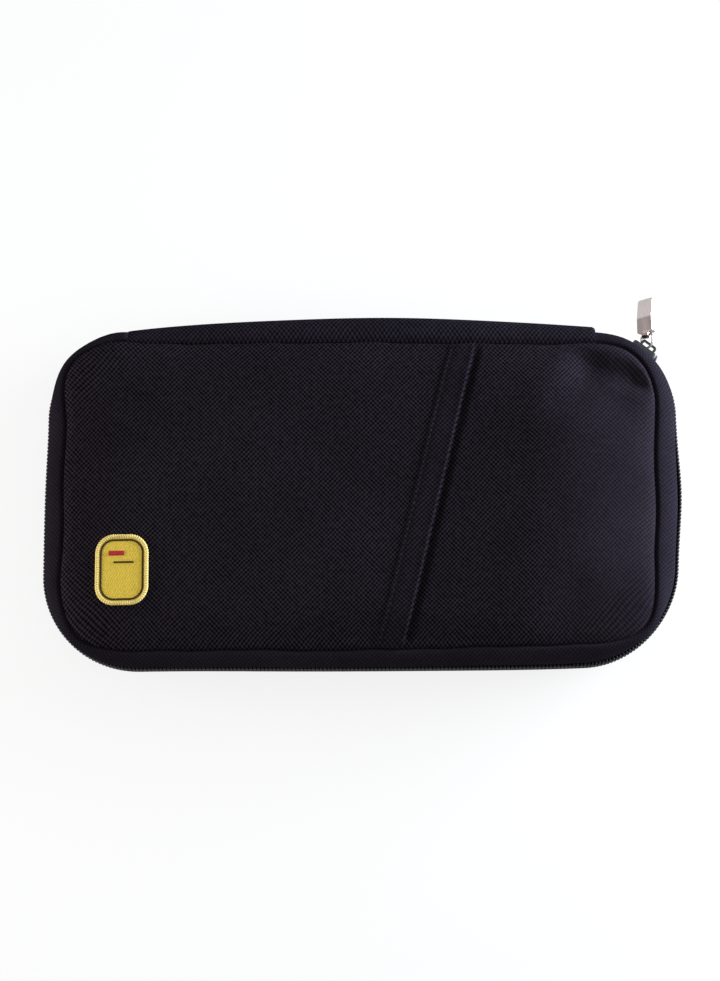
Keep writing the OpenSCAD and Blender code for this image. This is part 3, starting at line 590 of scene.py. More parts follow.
lining_low, lining_high, lining_in = 8.0, 8.5, 7.7
lining_x, lining_y = plan_rows(crowded(41) * (half_d - lining_in), crowded(61), lining_in)
lining_pucker = 0.12 * np.sin(lining_x / 7 + lining_y / 29)
lining_pucker = np.abs(lining_pucker * soft_step((half_d - lining_in - np.abs(lining_y)) / 6))
bound_out, bound_back, bound_low, bound_high = 7.9, 9.6, 4.65, 7.95
bound_profile = np.array([[bound_out, bound_high], [bound_out, bound_low + 0.7],
                          [bound_out + 0.4, bound_low + 0.1], [bound_back - 0.4, bound_low + 0.1],
                          [bound_back, bound_low + 0.7], [bound_back, bound_high]])
bound_line = zip_line(2.5, along_spine=True)
for side, cover in ((-1, "back"), (1, "front")):
    lining = put_flat(cover + "_lining_cloth", lining_x, lining_y,
                      zip_z + side * (lining_low + 0.05 + lining_pucker), zip_z + side * lining_high,
                      lining_cloth)
    dress(lining, cover, "lining", cover + "_lining")
    bound = put_carried(cover + "_bound_edge", bound_line, bound_profile, side, binding_cloth, ring=True)
    dress(bound, cover, "binding_tape", cover + "_seam_binding")

# Pockets of the back cover. Flat panels of the lining cloth are sewn down at their sides and foot:
# one full-width document pocket with a taped mouth, three stepped card slots and a passport pocket.

# Polyester sewing thread inside: grey, twisted, with a slight gloss on each short stitch, so that each seam
# of the dark pockets shows as a broken pale line.
thread_grey = twill("twisted_thread_grey", 0.35, "#3a3940", "#6b6873", 0.05, rough=0.6, gloss=0.1)
# The pockets are the same taffeta, one shade darker, so that each mouth reads against the next.
pocket_cloth = plain_weave("nylon_taffeta_black", 0.6, "#151518", "#2e2e34", 0.05, **taffeta)
stitch_w, stitch_t = 0.5, 0.4


def put_stitches(name, path, body, slot, up=1, pitch=2.8, length=2.1, material=thread_grey):
    """Sewing stitches: small rounded bars at even stops on a path of points, laid along it and half sunk in.

    up is 1 where the cloth's face looks up and -1 where it looks down.
    """
    path = np.asarray(path, float)
    run = run_along(path)
    stops = np.arange(pitch / 2, run[-1], pitch)
    ahead = at_stops(stops + 0.2, run, path) - at_stops(stops - 0.2, run, path)
    ahead /= np.linalg.norm(ahead, axis=1, keepdims=True)
    aside = np.cross(ahead, [0.0, 0.0, up])
    aside /= np.linalg.norm(aside, axis=1, keepdims=True)
    axes = np.stack([aside, np.cross(aside, ahead), ahead], axis=1)
    bar = pill(length, stitch_w, stitch_t, around=6)
    dress(put_row(name, bar, at_stops(stops, run, path), axes, material), body, slot)


pocket_foot, document_foot = half_d - 11.1, half_d - 10.1
hem_deep, hem_seam = 6.2, 5.2  # from a pocket's mouth to its hem's edge, and to its row of stitches


def put_pocket(name, node, left, right, mouth, low, high, foot=pocket_foot):
    """A pocket panel cut to the plan: its mouth is hemmed, and bows out between its sewn sides by a sine."""
    rows = np.concatenate([crowded(33)[:17] * foot, np.linspace(0.06, 0.985, 24) * mouth,
                           mouth - np.array([0.35, 0.12, 0])])
    rows = np.unique(np.clip(rows, -foot, mouth))
    reach = half_width(rows, half_d - foot)
    start, end = np.maximum(left, -reach), np.minimum(right, reach)
    share = np.linspace(0, 1, 61)
    x = start[:, None] + (end - start)[:, None] * share[None, :]
    y = np.broadcast_to(rows[:, None], x.shape)
    hem = 0.2 * soft_step((y - mouth + hem_deep) / 0.5)
    slack = 0.112 * np.sin(share[None, :] * np.pi) * soft_step((y + foot) / (mouth + foot))
    rounded = 0.25 * soft_step((y - mouth + 0.5) / 0.5)
    panel = put_flat(name, x, y, zip_z - low + hem + slack - rounded - 0.1, zip_z - high, pocket_cloth)
    dress(panel, "back", "lining", node)
    seam = (mouth - hem_seam, zip_z - low + 0.12)
    put_stitches(name + "_stitches", [(left + 1, *seam), (right - 1, *seam)], "back", "lining")


put_pocket("document_pocket_cloth", "document_pocket", -109.9, 109.9, 30.0, 7.25, 7.75, document_foot)
put_pocket("card_slot_cloth_rear", "card_slot_rear", -108.9, -44.9, 21.0, 6.5, 7.0)
put_pocket("card_slot_cloth_middle", "card_slot_middle", -108.9, -44.9, 8.0, 5.75, 6.25)
put_pocket("card_slot_cloth_front", "card_slot_front", -108.9, -44.9, -5.0, 5.0, 5.5)
put_pocket("passport_pocket_cloth", "passport_pocket", -37.1, 108.9, 19.0, 6.5, 7.0)

# The document pocket's mouth is bound with the ribbed tape, folded over the edge and sewn through.
mouth_fold = on_circle(np.radians(np.linspace(-90, 90, 7))) * [0.5, 0.55] + [30.1, 7.2]
mouth_profile = np.concatenate([[[24.0, 7.2], [24.0, 6.8], [24.25, 6.68], [27.0, 6.62]], mouth_fold,
                                [[29.7, 7.75], [29.7, 7.2]]])
mouth_x = np.linspace(-109.9, 109.9, 90)[:, None]
document_tape = put_piece(
    "document_mouth_tape", stack(mouth_x, mouth_profile[None, :, 0], zip_z - mouth_profile[None, :, 1]),
    tube_faces(len(mouth_x), len(mouth_profile)),
    stack(mouth_x, np.linspace(0, 14, len(mouth_profile))[None, :]), binding_cloth)
dress(document_tape, "back", "binding_tape", "document_binding")
mouth_seam = (25.0, zip_z - 6.66)  # sewn through just over the tape's face
put_stitches("document_mouth_stitches", [(-108, *mouth_seam), (108, *mouth_seam)], "back", "binding_tape")

# Pen loop. A short length of wide elastic, looped once round a pen and sewn flat to the lining.
# Its rubber cores show as ribs along the loop.

pen_y, pen_r, pen_wall, pen_half, pen_foot_half = 46.0, 4.2, 0.7, 11.0, 6.0
pen_z = zip_z - 3.05
pen_open = np.radians(28)  # half the gap where the loop meets its sewn foot
# Woven elastic: close ribs 0.9 mm apart that follow the loop, matt and black.
elastic_cloth = twill("ribbed_elastic_black", 0.9, "#0c0c0e", "#2a292e", 0.12, lean=0.0)
pen_turn = np.linspace(-np.pi / 2 + pen_open, 1.5 * np.pi - pen_open, 40)
pen_x = np.linspace(-pen_half, pen_half, 26)[:, None]
pen_outer, pen_inner = (stack(pen_x, pen_y + radius * np.cos(pen_turn), pen_z + radius * np.sin(pen_turn))
                        for radius in (pen_r + pen_wall, pen_r + 0.02))
pen_loop = put_sheet("pen_loop_elastic", pen_outer, pen_inner,
                     stack(pen_x, np.linspace(0, 28, len(pen_turn))[None, :]), elastic_cloth)
dress(pen_loop, "back", "elastic", "pen_loop")
foot_y = np.linspace(-pen_foot_half, pen_foot_half, 15)[None, :]
foot_top = -pen_r + 0.12
foot_round = 0.25 * soft_step((np.abs(foot_y) - 5.2) / 0.8)
pen_foot = put_sheet("pen_loop_foot", stack(pen_x, pen_y + foot_y, pen_z + foot_top - foot_round),
                     stack(pen_x, pen_y + foot_y, pen_z - pen_r - pen_wall), stack(pen_x, foot_y),
                     elastic_cloth)
dress(pen_foot, "back", "elastic")
for number, place in ((1, -4.6), (2, 4.6)):
    seam = (pen_y + place, pen_z + foot_top)
    put_stitches(f"pen_loop_stitches_{number}", [(-10, *seam), (10, *seam)], "back", "elastic",
                 pitch=2.4, length=1.8)

# Front cover. The same foam pad and polyester as the back, but packed fuller towards its right end,
# where the pocket stops, with a soft crease across its right spine corner from being pressed in.

lip_middle, lip_lean = 30.0, math.radians(14.2)  # the slanted pocket mouth
lip_slope = math.tan(lip_lean)
bulge_rise, crease_depth = 3.6, 3.8
crease_x, crease_y = 96.5, 45.3  # a place on the crease
crease_sine, crease_cosine = 0.36, 0.933  # its slant
groove_depth, groove_at, groove_half = 0.9, 1.7, 1.4  # pressed into the cover beside the pocket's lip


def past_lip(x, y):
    """Distance right of the slanted pocket mouth, along the cover's width."""
    return x - lip_middle - lip_slope * y


def front_rise(x, y, lift=0.0):
    """Height of the front pad over its seam before it is blown up: a crown, a bulge, a crease and ripples.

    The crown has a longer shoulder at the right, where the bulge is. The crease is a bell curve across its
    line, steep towards the corner and gentle before it. lift raises the whole skin, as for the pocket that
    lies over it, but not its sewn edge.
    """
    inward = from_seam(x, y)
    packed = soft_step((past_lip(x, y) - 6) / 40)
    run = crown_run + 24 * packed * soft_step((x - 60) / 25) * soft_step((46 - y) / 22)
    bulge = bulge_rise * packed * np.exp(-(((y + 4) / 52) ** 4))
    crown = (crown_rise - crown_short + seam_groove + lift + bulge) * shoulder(inward, run) - seam_groove
    toward = (x - crease_x) * crease_sine + (y - crease_y) * crease_cosine
    sideways = (x - crease_x) * crease_cosine - (y - crease_y) * crease_sine
    width = np.where(toward < 0, 13.0, 4.5)
    crease = crease_depth * np.exp(-((toward / width) ** 2)) * soft_step((sideways + 22) / 16)
    crease = crease * soft_step(inward / (5.5 + 12 * soft_step(-toward / 7)))
    dimple = 0.35 * np.exp(-(((x - 47) / 9) ** 2) - ((y - 37) / 8) ** 2)
    return crown - crease + dimple + ripple(x, y, 0.14) * soft_step(inward / 20)


front_blown = blown_up(front_rise)


def on_front(x, y, lift=0.0, over=0.0):
    """Points on the front cover: settled in plan, at the swollen skin's height and over it by a layer."""
    move = swell(front_blown, x, y)
    height = zip_z + seam_h + front_rise(x, y, lift) + over + move[..., 2]
    return stack(*settle(x + move[..., 0], y + move[..., 1], 1.0), height)


front_rows = crowded(97) * seam_half_d
seam_x, lip_x = half_width(front_rows, seam_inset)[:, None], (lip_middle + lip_slope * front_rows)[:, None]
under_pocket = 1 - np.cos(np.linspace(0, 1, 70, endpoint=False) * np.pi / 2)
beside_lip = (1 - np.cos(np.linspace(0, 1, 100) * np.pi)) / 2
front_x = np.concatenate([(lip_x + seam_x) * under_pocket - seam_x,
                          lip_x + (seam_x - lip_x) * beside_lip], axis=1)
front_y = np.broadcast_to(front_rows[:, None], front_x.shape)
front_in = from_seam(front_x, front_y)
lip_groove = groove_depth * np.exp(-(((past_lip(front_x, front_y) - groove_at) / groove_half) ** 2))
front_cover = put_sheet(
    "front_cover", on_front(front_x, front_y, over=-lip_groove * soft_step(front_in / 6)),
    stack(*settle(front_x, front_y, 1.0), zip_z + pad_floor(front_in)), stack(front_x, front_y), shell_cloth)
dress(front_cover, "front", "woven_shell", "front_panel", "front_foam")

# Slanted slip pocket. A second layer of the same cloth covers the left of the front and is sewn into
# the cover's seam; its slanted mouth is turned back to a flat hem with one row of stitching.

pocket_lift, hem_w = 1.15, 8.9
slip_x = (lip_x + seam_x) * (1 - np.cos(np.linspace(0, 1, 120) * np.pi / 2)) - seam_x
slip_y = np.broadcast_to(front_rows[:, None], slip_x.shape)
slip_skin = on_front(slip_x, slip_y, pocket_lift)
slip_thick = np.minimum(0.85, 0.12 + 0.73 * soft_step(from_seam(slip_x, slip_y) / 6))
slip_pocket = put_sheet("slant_pocket_cloth", slip_skin, slip_skin - stack(0, 0, slip_thick),
                        stack(slip_x, slip_y), shell_cloth)
dress(slip_pocket, "front", "woven_shell", "slant_pocket")

# The hem is the pocket's cloth ironed flat and doubled, so the weave is softer there.
hem_cloth = plain_weave("woven_polyester_hem", yarn, "#0f0d11", "#2a262e", 0.05)
# Polyester sewing thread outside: black and twisted, with next to no gloss.
thread_black = twill("twisted_thread_black", 0.35, "#08070a", "#18161a", 0.05, rough=0.7, gloss=0.02)
# Across the hem, from its inner edge to its lip: a thin raised fold, rounded and turned down at the mouth.
hem_over = np.array([
    [-hem_w, -0.25], [-hem_w, 0.1], [-8.78, 0.3], [-8.5, 0.43], [-8.1, 0.45], [-7.7, 0.35], [-7.35, 0.2],
    [-7.0, 0.28], [-6.4, 0.38], [-4.8, 0.42], [-2.6, 0.42], [-1.3, 0.44], [-0.85, 0.5], [-0.4, 0.58],
    [0.05, 0.6], [0.4, 0.48], [0.58, 0.28], [0.6, 0.0], [0.5, -0.5], [0.3, -0.75]])
hem_under = np.concatenate([stack(hem_over[:-4, 0] * 0.985, -0.35),
                            [[0.15, -0.36], [0.12, -0.5], [0.1, -0.65], [0.05, -0.8]]])
hem_seam_at, hem_seam_over = -7.35, 0.2
lip_stretch = 1 / math.cos(lip_lean)
hem_rows = crowded(97)[:, None] * (seam_half_d - 0.05)
hem_lip = lip_middle + lip_slope * hem_rows


def hem_points(profile):
    """The hem's cross-section at every row of the mouth, over the pocket's skin, and flatter at its ends."""
    x = hem_lip + profile[None, :, 0] * lip_stretch
    level = np.minimum(x, hem_lip)
    y = np.broadcast_to(hem_rows, x.shape)
    full = 0.25 + 0.75 * soft_step(from_seam(level, y) / 3)
    return on_front(level, y, pocket_lift, profile[None, :, 1] * full) + stack(x - level, 0, 0)


mouth_hem = put_sheet("slant_mouth_hem", hem_points(hem_over), hem_points(hem_under),
                      stack(hem_lip + hem_over[None, :, 0], hem_rows), hem_cloth)
dress(mouth_hem, "front", "binding_tape", "slant_binding")
stitch_y = np.linspace(-56, 56, 120)
stitch_x = lip_middle + lip_slope * stitch_y + hem_seam_at * lip_stretch
put_stitches("slant_mouth_stitches", on_front(stitch_x, stitch_y, pocket_lift, hem_seam_over), "front",
             "binding_tape", pitch=2.6, length=2.0, material=thread_black)

# Sewn patch. A plain embroidered badge of satin stitch on twill, with a thick overlocked rim, sewn on
# the pocket's lower left. It carries a bare bar and a line, and no picture.

patch_at, patch_half = np.array([-89.4, -28.6]), np.array([10.0, 13.0])
patch_r, patch_edge, patch_t = 7.0, 0.4, 0.75


def badge_line(inset, step):
    """Points round an upright rounded rectangle by arcs and sides, the way outwards at each, and the run."""
    quarter = np.radians(np.linspace(0, 90, 24))
    ways = [on_circle(quarter + start * np.pi / 2) for start in range(4)]
    middles = np.array([[1, 1], [-1, 1], [-1, -1], [1, -1]]) * (patch_half - patch_r)
    arcs = [middle + (patch_r - inset) * way for middle, way in zip(middles, ways)]
    points, ways = np.concatenate(arcs + [arcs[0][:1]]), np.concatenate(ways + [ways[0][:1]])
    run = run_along(points)
    stops = np.linspace(0, run[-1], int(run[-1] / step), endpoint=False)
    outward = at_stops(stops, run, ways)
    return at_stops(stops, run, points), outward / np.linalg.norm(outward, axis=1, keepdims=True), stops


def on_pocket(x, y, over):
    """Points over the slip pocket's skin under the patch."""
    return on_front(patch_at[0] + x, patch_at[1] + y, pocket_lift, over)


def put_cording(name, inset, width, height, rise, ridge, material):
    """A stitched rim: a half-round bead carried round the badge, ridged across by a sine at each stitch."""
    place, outward, run = badge_line(inset, ridge / 6)
    turn = np.linspace(0, 2 * np.pi, 12, endpoint=False)
    ridged = 1 + 0.07 * np.sin(2 * np.pi * run / ridge)[:, None]
    out, high = ridged * np.cos(turn) * width / 2, ridged * np.sin(turn) * height / 2
    x = place[:, :1] + out * outward[:, :1]
    y = place[:, 1:] + out * outward[:, 1:]
    cord = put_piece(name, on_pocket(x, y, rise + high), tube_faces(*x.shape, ring=True),
                     stack(run[:, None], np.linspace(0, 3, len(turn))[None, :]), material)
    dress(cord, "front", "patch")


def satin_stitch(name, shade, bright, ridge):
    """Embroidery thread laid side by side: fine ribs with a silky gloss that runs along the thread."""
    return twill(name, ridge, shade, bright, 0.07, rough=0.62, gloss=0.1, lean=0.35)


# Rayon embroidery thread: silky, with ribs 0.5 to 0.9 mm apart, drawn coarse so that they show.
patch_yellow = satin_stitch("satin_stitch_yellow", "#c2a233", "#f2d65a", 0.6)
patch_rim = satin_stitch("overlock_stitch_cream", "#cdb04e", "#f8e39a", 0.9)
patch_dark = satin_stitch("satin_stitch_brown", "#231c10", "#4a3b1d", 0.5)
patch_red = satin_stitch("satin_stitch_red", "#8d1f24", "#c43a3e", 0.5)

patch_rows = crowded(41) * (patch_half[1] - patch_edge)
patch_beyond = np.clip(np.abs(patch_rows) - (patch_half[1] - patch_r), 0, patch_r - patch_edge)
patch_reach = patch_half[0] - patch_r + np.sqrt((patch_r - patch_edge) ** 2 - patch_beyond**2)
patch_x = crowded(31)[None, :] * patch_reach[:, None]
patch_y = np.broadcast_to(patch_rows[:, None], patch_x.shape)
patch_field = put_sheet("patch_field", on_pocket(patch_x, patch_y, patch_t),
                        on_pocket(patch_x, patch_y, 0.02), stack(patch_x, patch_y), patch_yellow)
dress(patch_field, "front", "patch", "patch")
put_cording("patch_rim", 0.7, 1.5, 1.3, 0.6, 0.8, patch_rim)
put_cording("patch_outline", 2.1, 0.75, 0.55, patch_t, 0.8, patch_dark)
for name, left, right, low, high, thread in (("patch_bar", -5.0, 1.0, 5.2, 7.0, patch_red),
                                             ("patch_line", -3.0, 4.5, 2.4, 3.1, patch_dark)):
    bar_x, bar_y = np.meshgrid(np.linspace(left, right, 15), np.linspace(low, high, 7))
    dome = patch_t + 0.28 * np.sqrt(np.clip(1 - (2 * (bar_y - low) / (high - low) - 1) ** 4, 0, 1))
    bar = put_sheet(name, on_pocket(bar_x, bar_y, dome), on_pocket(bar_x, bar_y, 0.6),
                    stack(bar_x, bar_y), thread)
    dress(bar, "front", "patch")

# Spine. A padded strip of the shell cloth joins the two covers along the fourth side and bows out in
# its middle; a strip of lining closes it inside. The real cloth folds here when the case opens; these strips
# are baked in place and move with no body.

spine_half_l, spine_bow, spine_reach, spine_rise, spine_t = 89.0, 4.6, 9.1, 9.75, 0.9
spine_lined_half, spine_lined_reach, spine_lined_rise, spine_lined_t = 87, 6.3, 8.4, 0.5
spine_end_r, spine_tuck = 1.3, 1.2  # the strip's ends are rounded off over this length, and tucked in by this


def spine_strip(x, share, side, reach, rise, slid, flat_from=0.62):
    """Half of the strip: a quarter ellipse from a cover's seam to the flat of the spine, then straight down.

    share runs from 0 at the seam to 1 at the middle; a parabola lets the reach grow towards mid-length.
    """
    turn = np.minimum(share / flat_from, 1) * np.pi / 2
    drop = np.clip((share - flat_from) / (1 - flat_from), 0, 1)
    seam_y = spine_seam_y + slid * slid_up(x, spine_seam_y)
    out = spine_seam_y + reach + spine_bow * (1 - (x / spine_half_l) ** 2)
    dip = np.exp(-((share / 0.05) ** 2))  # the strip, too, dives into the groove of its seam
    height = np.where(share < flat_from, band_foot + (rise - band_foot) * np.cos(turn) - dip,
                      band_foot * (1 - drop))
    return stack(x, seam_y + (out - seam_y) * np.sin(turn), zip_z + side * height)


spine_ends = np.array([0.988, 0.995, 0.9985, 1])
spine_x = np.concatenate([-spine_ends[::-1], np.linspace(-0.977, 0.977, 70), spine_ends])
spine_x = spine_x[:, None] * spine_half_l
spine_share = np.concatenate([np.linspace(0, 0.12, 7), np.linspace(0.16, 1, 22)])[None, :]
near_end = np.clip((np.abs(spine_x) - (spine_half_l - spine_end_r)) / spine_end_r, 0, 1)
tuck = spine_tuck * (1 - np.sqrt(1 - near_end**2))
spine_lining_x = np.linspace(-spine_lined_half, spine_lined_half, 60)[:, None]
for side, cover, bodies in ((1, "front", ("spine", "front")), (-1, "back", ("back", "spine"))):
    slid = max(side, 0)
    wave = 0.12 * np.sin(spine_x / 13 + 0.7 * side) * np.sin(spine_share * np.pi)
    rise = spine_rise - 0.2 * tuck
    strip = put_sheet(
        f"spine_cloth_{cover}",
        spine_strip(spine_x, spine_share, side, spine_reach - tuck + wave, rise, slid),
        spine_strip(spine_x, spine_share, side, spine_reach - spine_t - tuck, rise - spine_t, slid),
        stack(spine_x + np.sign(spine_x) * tuck, spine_share * 16 * side), hem_cloth)
    inside = put_sheet(
        f"spine_lining_{cover}",
        spine_strip(spine_lining_x, spine_share, side, spine_lined_reach, spine_lined_rise, 0),
        spine_strip(spine_lining_x, spine_share, side, spine_lined_reach - spine_lined_t,
                    spine_lined_rise - spine_lined_t, 0),
        stack(spine_lining_x, spine_share * 15 * side), lining_cloth)
    if side > 0:
        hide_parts("spine_panel", "spine_foam")
        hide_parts("spine_lining")
    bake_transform(strip)
    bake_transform(inside)

# Mesh pocket of the front cover. A knitted net panel shows what is in the pocket; its rim is turned
# into a hem, and along the spine side it is sewn to a short zip whose other tape joins a cloth facing.

net_low, net_high, net_top, net_in, net_back = 5.9, 6.4, 29.05, 10.1, 7.95
net_pitch, net_half_w = 2.9, 106.5


def put_net(name, material):
    """A knitted net: every square of a grid carries a round hole, so four bridges are left round it.

    Each cell is eight points on its rim and eight on its hole, on both faces of the net, joined by quads.
    """
    half = net_pitch / 2
    columns, rows = int(2 * net_half_w / net_pitch), int((net_top + half_d - net_in - 3) / net_pitch)
    cell_x, cell_y = np.meshgrid((np.arange(columns) - (columns - 1) / 2) * net_pitch,
                                 net_top - 1.5 - (np.arange(rows) + 0.5) * net_pitch)
    inset = net_in + 1.0
    reach = np.minimum(half_width(cell_y - half, inset), half_width(cell_y + half, inset)) - half
    centre = stack(cell_x, cell_y)[np.abs(cell_x) < reach]
    way = on_circle(np.radians(np.arange(8) * 45.0))
    square = way * np.array([1.0, math.sqrt(2)] * 4)[:, None] * half
    hole = way * np.array([0.98, 1.06] * 4)[:, None]
    level = np.repeat([net_low + 0.12, net_low + 0.02, net_high - 0.12, net_high - 0.02], 8)
    plan = centre[:, None] + np.concatenate([square, hole, square, hole])[None]
    here = np.arange(8)
    ahead = (here + 1) % 8
    cell = np.concatenate([np.stack([here, here + 8, ahead + 8, ahead], -1),
                           np.stack([here + 16, ahead + 16, ahead + 24, here + 24], -1),
                           np.stack([here + 8, here + 24, ahead + 24, ahead + 8], -1)])
    faces = (cell[None] + (np.arange(len(centre)) * len(level))[:, None, None]).reshape(-1, 4).tolist()
    return put_piece(name, stack(plan[..., 0], plan[..., 1], zip_z + level[None, :]), faces, plan, material)


# Knitted polyester net, black and slightly shiny along its threads, whose twist is drawn 0.7 mm long to show.
net_cloth = twill("knitted_net_black", 0.7, "#101013", "#34323a", 0.08, rough=0.62, gloss=0.1, lean=0.6)
net = put_net("mesh_pocket_net", net_cloth)
dress(net, "front", "mesh", "mesh_pocket")

# The net's hem: ribbed tape folded over the net's rim round its three sewn sides.
net_line = zip_line(2.5)
below_zip = net_line[0][:, 1] - net_line[1][:, 1] * net_in < net_top - 0.5
net_line = tuple(part[below_zip] for part in net_line)
net_hem_profile = np.array([[10.0, net_back], [10.0, 6.1], [10.3, 5.75], [12.4, 5.65], [13.0, 5.85],
                            [13.1, 6.5], [12.4, 6.6], [12.1, net_back]])
net_hem = put_carried("mesh_pocket_hem", net_line, net_hem_profile, 1, binding_cloth)
dress(net_hem, "front", "binding_tape", "mesh_hem")

# The facing: a folded strip of taffeta between the zip and the spine seam.
facing_edge, facing_z = 41.35, zip_z + net_low + 0.1
facing_rows = np.concatenate([[facing_edge, 41.45, 41.8], np.linspace(42.6, half_d - net_in, 14)])
facing_x, facing_y = plan_rows(facing_rows, np.linspace(-1, 1, 61), net_in)
facing_fall = 0.3 * (1 - soft_step((facing_y - facing_edge) / 0.6)) - 0.08 * np.sin(facing_x / 9)
facing = put_flat("mesh_pocket_facing", facing_x, facing_y, facing_z + facing_fall, zip_z + net_back,
                  pocket_cloth)
dress(facing, "front", "lining", "mesh_facing")
facing_seam = (42.9, facing_z)
put_stitches("mesh_facing_stitches", [(-100, *facing_seam), (100, *facing_seam)], "front", "lining", up=-1)

# The pocket's zip: two straight tapes with a small coil along each, over the net's rim and the facing.
mesh_zip_y, mesh_zip_half, mesh_pitch = 36.0, 102.0, 1.1
mesh_tape_back, mesh_tooth_mid, mesh_tooth_in = 5.85, 4.62, 0.85  # two heights, and the teeth's way in
mesh_seam_in, mesh_seam_h = 6.2, 5.34  # the row of stitches on each tape
mesh_tape_x = np.linspace(-mesh_zip_half, mesh_zip_half, 90)[:, None]
mesh_tape_across = np.array([0.35, 0.6, 2.0, 3.2, 3.5, 5.0, 6.6, 7.0, 8.6, 8.95])[None, :]
mesh_tape_level = np.array([5.5, 5.37, 5.35, 5.35, 5.3, 5.35, 5.35, 5.3, 5.35, 5.5])[None, :]
for side, name in ((-1, "lower"), (1, "upper")):
    tape_y = mesh_zip_y + side * mesh_tape_across
    tape = put_flat(f"mesh_zip_tape_cloth_{name}", mesh_tape_x, tape_y, zip_z + mesh_tape_level,
                    zip_z + mesh_tape_back, tape_cloth)
    dress(tape, "front", "zip_tape", "mesh_tape_" + name)
    stops = np.arange(-mesh_zip_half + 0.6 + mesh_pitch / 2 * (side > 0), mesh_zip_half - 0.4, mesh_pitch)
    axes = np.broadcast_to([[0.0, 0.0, 1.0], [1.0, 0.0, 0.0], [0.0, 1.0, 0.0]], (len(stops), 3, 3))
    teeth = put_row(f"mesh_zip_teeth_{name}", pill(2.0, 1.4, 0.75, around=6),
                    stack(stops, mesh_zip_y + side * mesh_tooth_in, zip_z + mesh_tooth_mid), axes,
                    teeth_nylon)
    dress(teeth, "front", "zip_coil", "mesh_coil_" + name)
    seam = (mesh_zip_y + side * mesh_seam_in, zip_z + mesh_seam_h)
    put_stitches(f"mesh_zip_stitches_{name}", [(-101, *seam), (101, *seam)], "front", "zip_tape", up=-1)

# Sliders and pulls. The main slider is die-cast zinc under black enamel; its pull is a bent wire ring
# with a stamped, folded tab, both nickel plated. The small slider inside is enamelled too.


def eased_copy(node, name, width, material, slot):
    """A copy of a metal CAD piece: its triangles merged to whole flats, and its edges rounded off."""
    mesh = bpy.data.meshes.new(name)
    shape = bmesh.new()
    shape.from_mesh(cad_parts[node].data)
    bmesh.ops.remove_doubles(shape, verts=shape.verts, dist=2e-6)
    bmesh.ops.dissolve_limit(shape, angle_limit=math.radians(2), verts=shape.verts, edges=shape.edges)
    for face in shape.faces:
        face.smooth = True
    shape.to_mesh(mesh)
    shape.free()
    mesh.materials.clear()
    mesh.materials.append(material)
    piece = bpy.data.objects.new(name, mesh)
    bpy.context.scene.collection.objects.link(piece)
    easing = piece.modifiers.new("eased_edges", "BEVEL")
    easing.width, easing.segments, easing.limit_method = width * 0.001, 2, "ANGLE"
    easing.angle_limit, easing.harden_normals = math.radians(35), False
    dress(piece, node, slot, node)


# Black baked enamel over die-cast zinc: smooth, half glossy, with a faint orange-peel.
enamel = hard_coat("black_enamel_on_zinc", 1400.0, 2.0, "#0b0b0d", "#19181c", (0.28, 0.42), {"IOR": 1.5},
                   relief=0.03, strength=0.6)
tab_bend = 0.0715, 0.0723  # metres from the middle of the case to where the tab's tip starts


def nickel_plate(name, dull, bright, lit_tip_dull, lit_tip_bright):
    """Nickel plate: noise drawn out along the pull scratches it; past the bend the tip's colours show, which
    on the tab are a painted highlight against painted shade on the shank.
    """
    metal = bare_material(name)
    spot = add(metal, "TexCoord").outputs["Object"]
    drawn = add(metal, "Mapping", {"Vector": spot, "Scale": (1800.0, 250.0, 1800.0)})
    scratch = add(metal, "TexNoise", {"Vector": drawn.outputs[0], "Scale": 1.0, "Detail": 4.0,
                                      "Roughness": 0.7})
    scratch = scratch.outputs["Fac"]
    # On the tab the shank's colours are darker, painted shade, and past the bend the tip's are paler, a
    # painted highlight where the bent tip faces the light.
    shank = add(metal, "Mix", {0: scratch, 6: linear(dull), 7: linear(bright)}, data_type="RGBA")
    lit_tip = add(metal, "Mix", {0: scratch, 6: linear(lit_tip_dull), 7: linear(lit_tip_bright)}, data_type="RGBA")
    along = add(metal, "SeparateXYZ", {0: spot})
    lit_tip_share = add(metal, "MapRange", {"Value": along.outputs["Y"], "From Min": tab_bend[0],
                                   "From Max": tab_bend[1]})
    plate = add(metal, "Mix", {0: lit_tip_share.outputs[0], 6: shank.outputs[2], 7: lit_tip.outputs[2]}, data_type="RGBA")
    rubbed_and_painted_sheen = add(metal, "MapRange", {"Value": scratch, "To Min": 0.22, "To Max": 0.42})
    close_material(metal, plate.outputs[2], rubbed_and_painted_sheen.outputs[0], {"Metallic": 1.0}, scratch, 0.02, 0.5)
    return metal


# Bright nickel on the steel wire of the ring: warm silver, softly polished, with fine rubbed scratches.
wire_nickel = nickel_plate("nickel_plated_wire", "#8f8482", "#cfc7c5", "#8f8482", "#cfc7c5")
# The stamped tab is the same nickel, with painted shade darkening its shank and a painted highlight
# brightening its tip past the bend, where the bent tip faces the light.
tab_nickel = nickel_plate("nickel_plated_tab", "#7b706e", "#a39896", "#aca2a1", "#d6cdcc")

eased_copy("zip_slider", "zip_slider_body", 0.25, enamel, "slider_enamel")
eased_copy("pull_ring", "pull_ring_wire", 0.02, wire_nickel, "plated_metal")
eased_copy("pull_tab", "pull_tab_plate", 0.14, tab_nickel, "plated_metal")
eased_copy("mesh_slider", "mesh_slider_body", 0.2, enamel, "slider_enamel")
eased_copy("mesh_pull", "mesh_pull_plate", 0.16, enamel, "slider_enamel")

# Studio. The case lies on a plain white table under an even white sky, with a soft lamp low at its
# right rear and a weaker one at its left. The camera looks down from a little in front, as the
# photograph does.


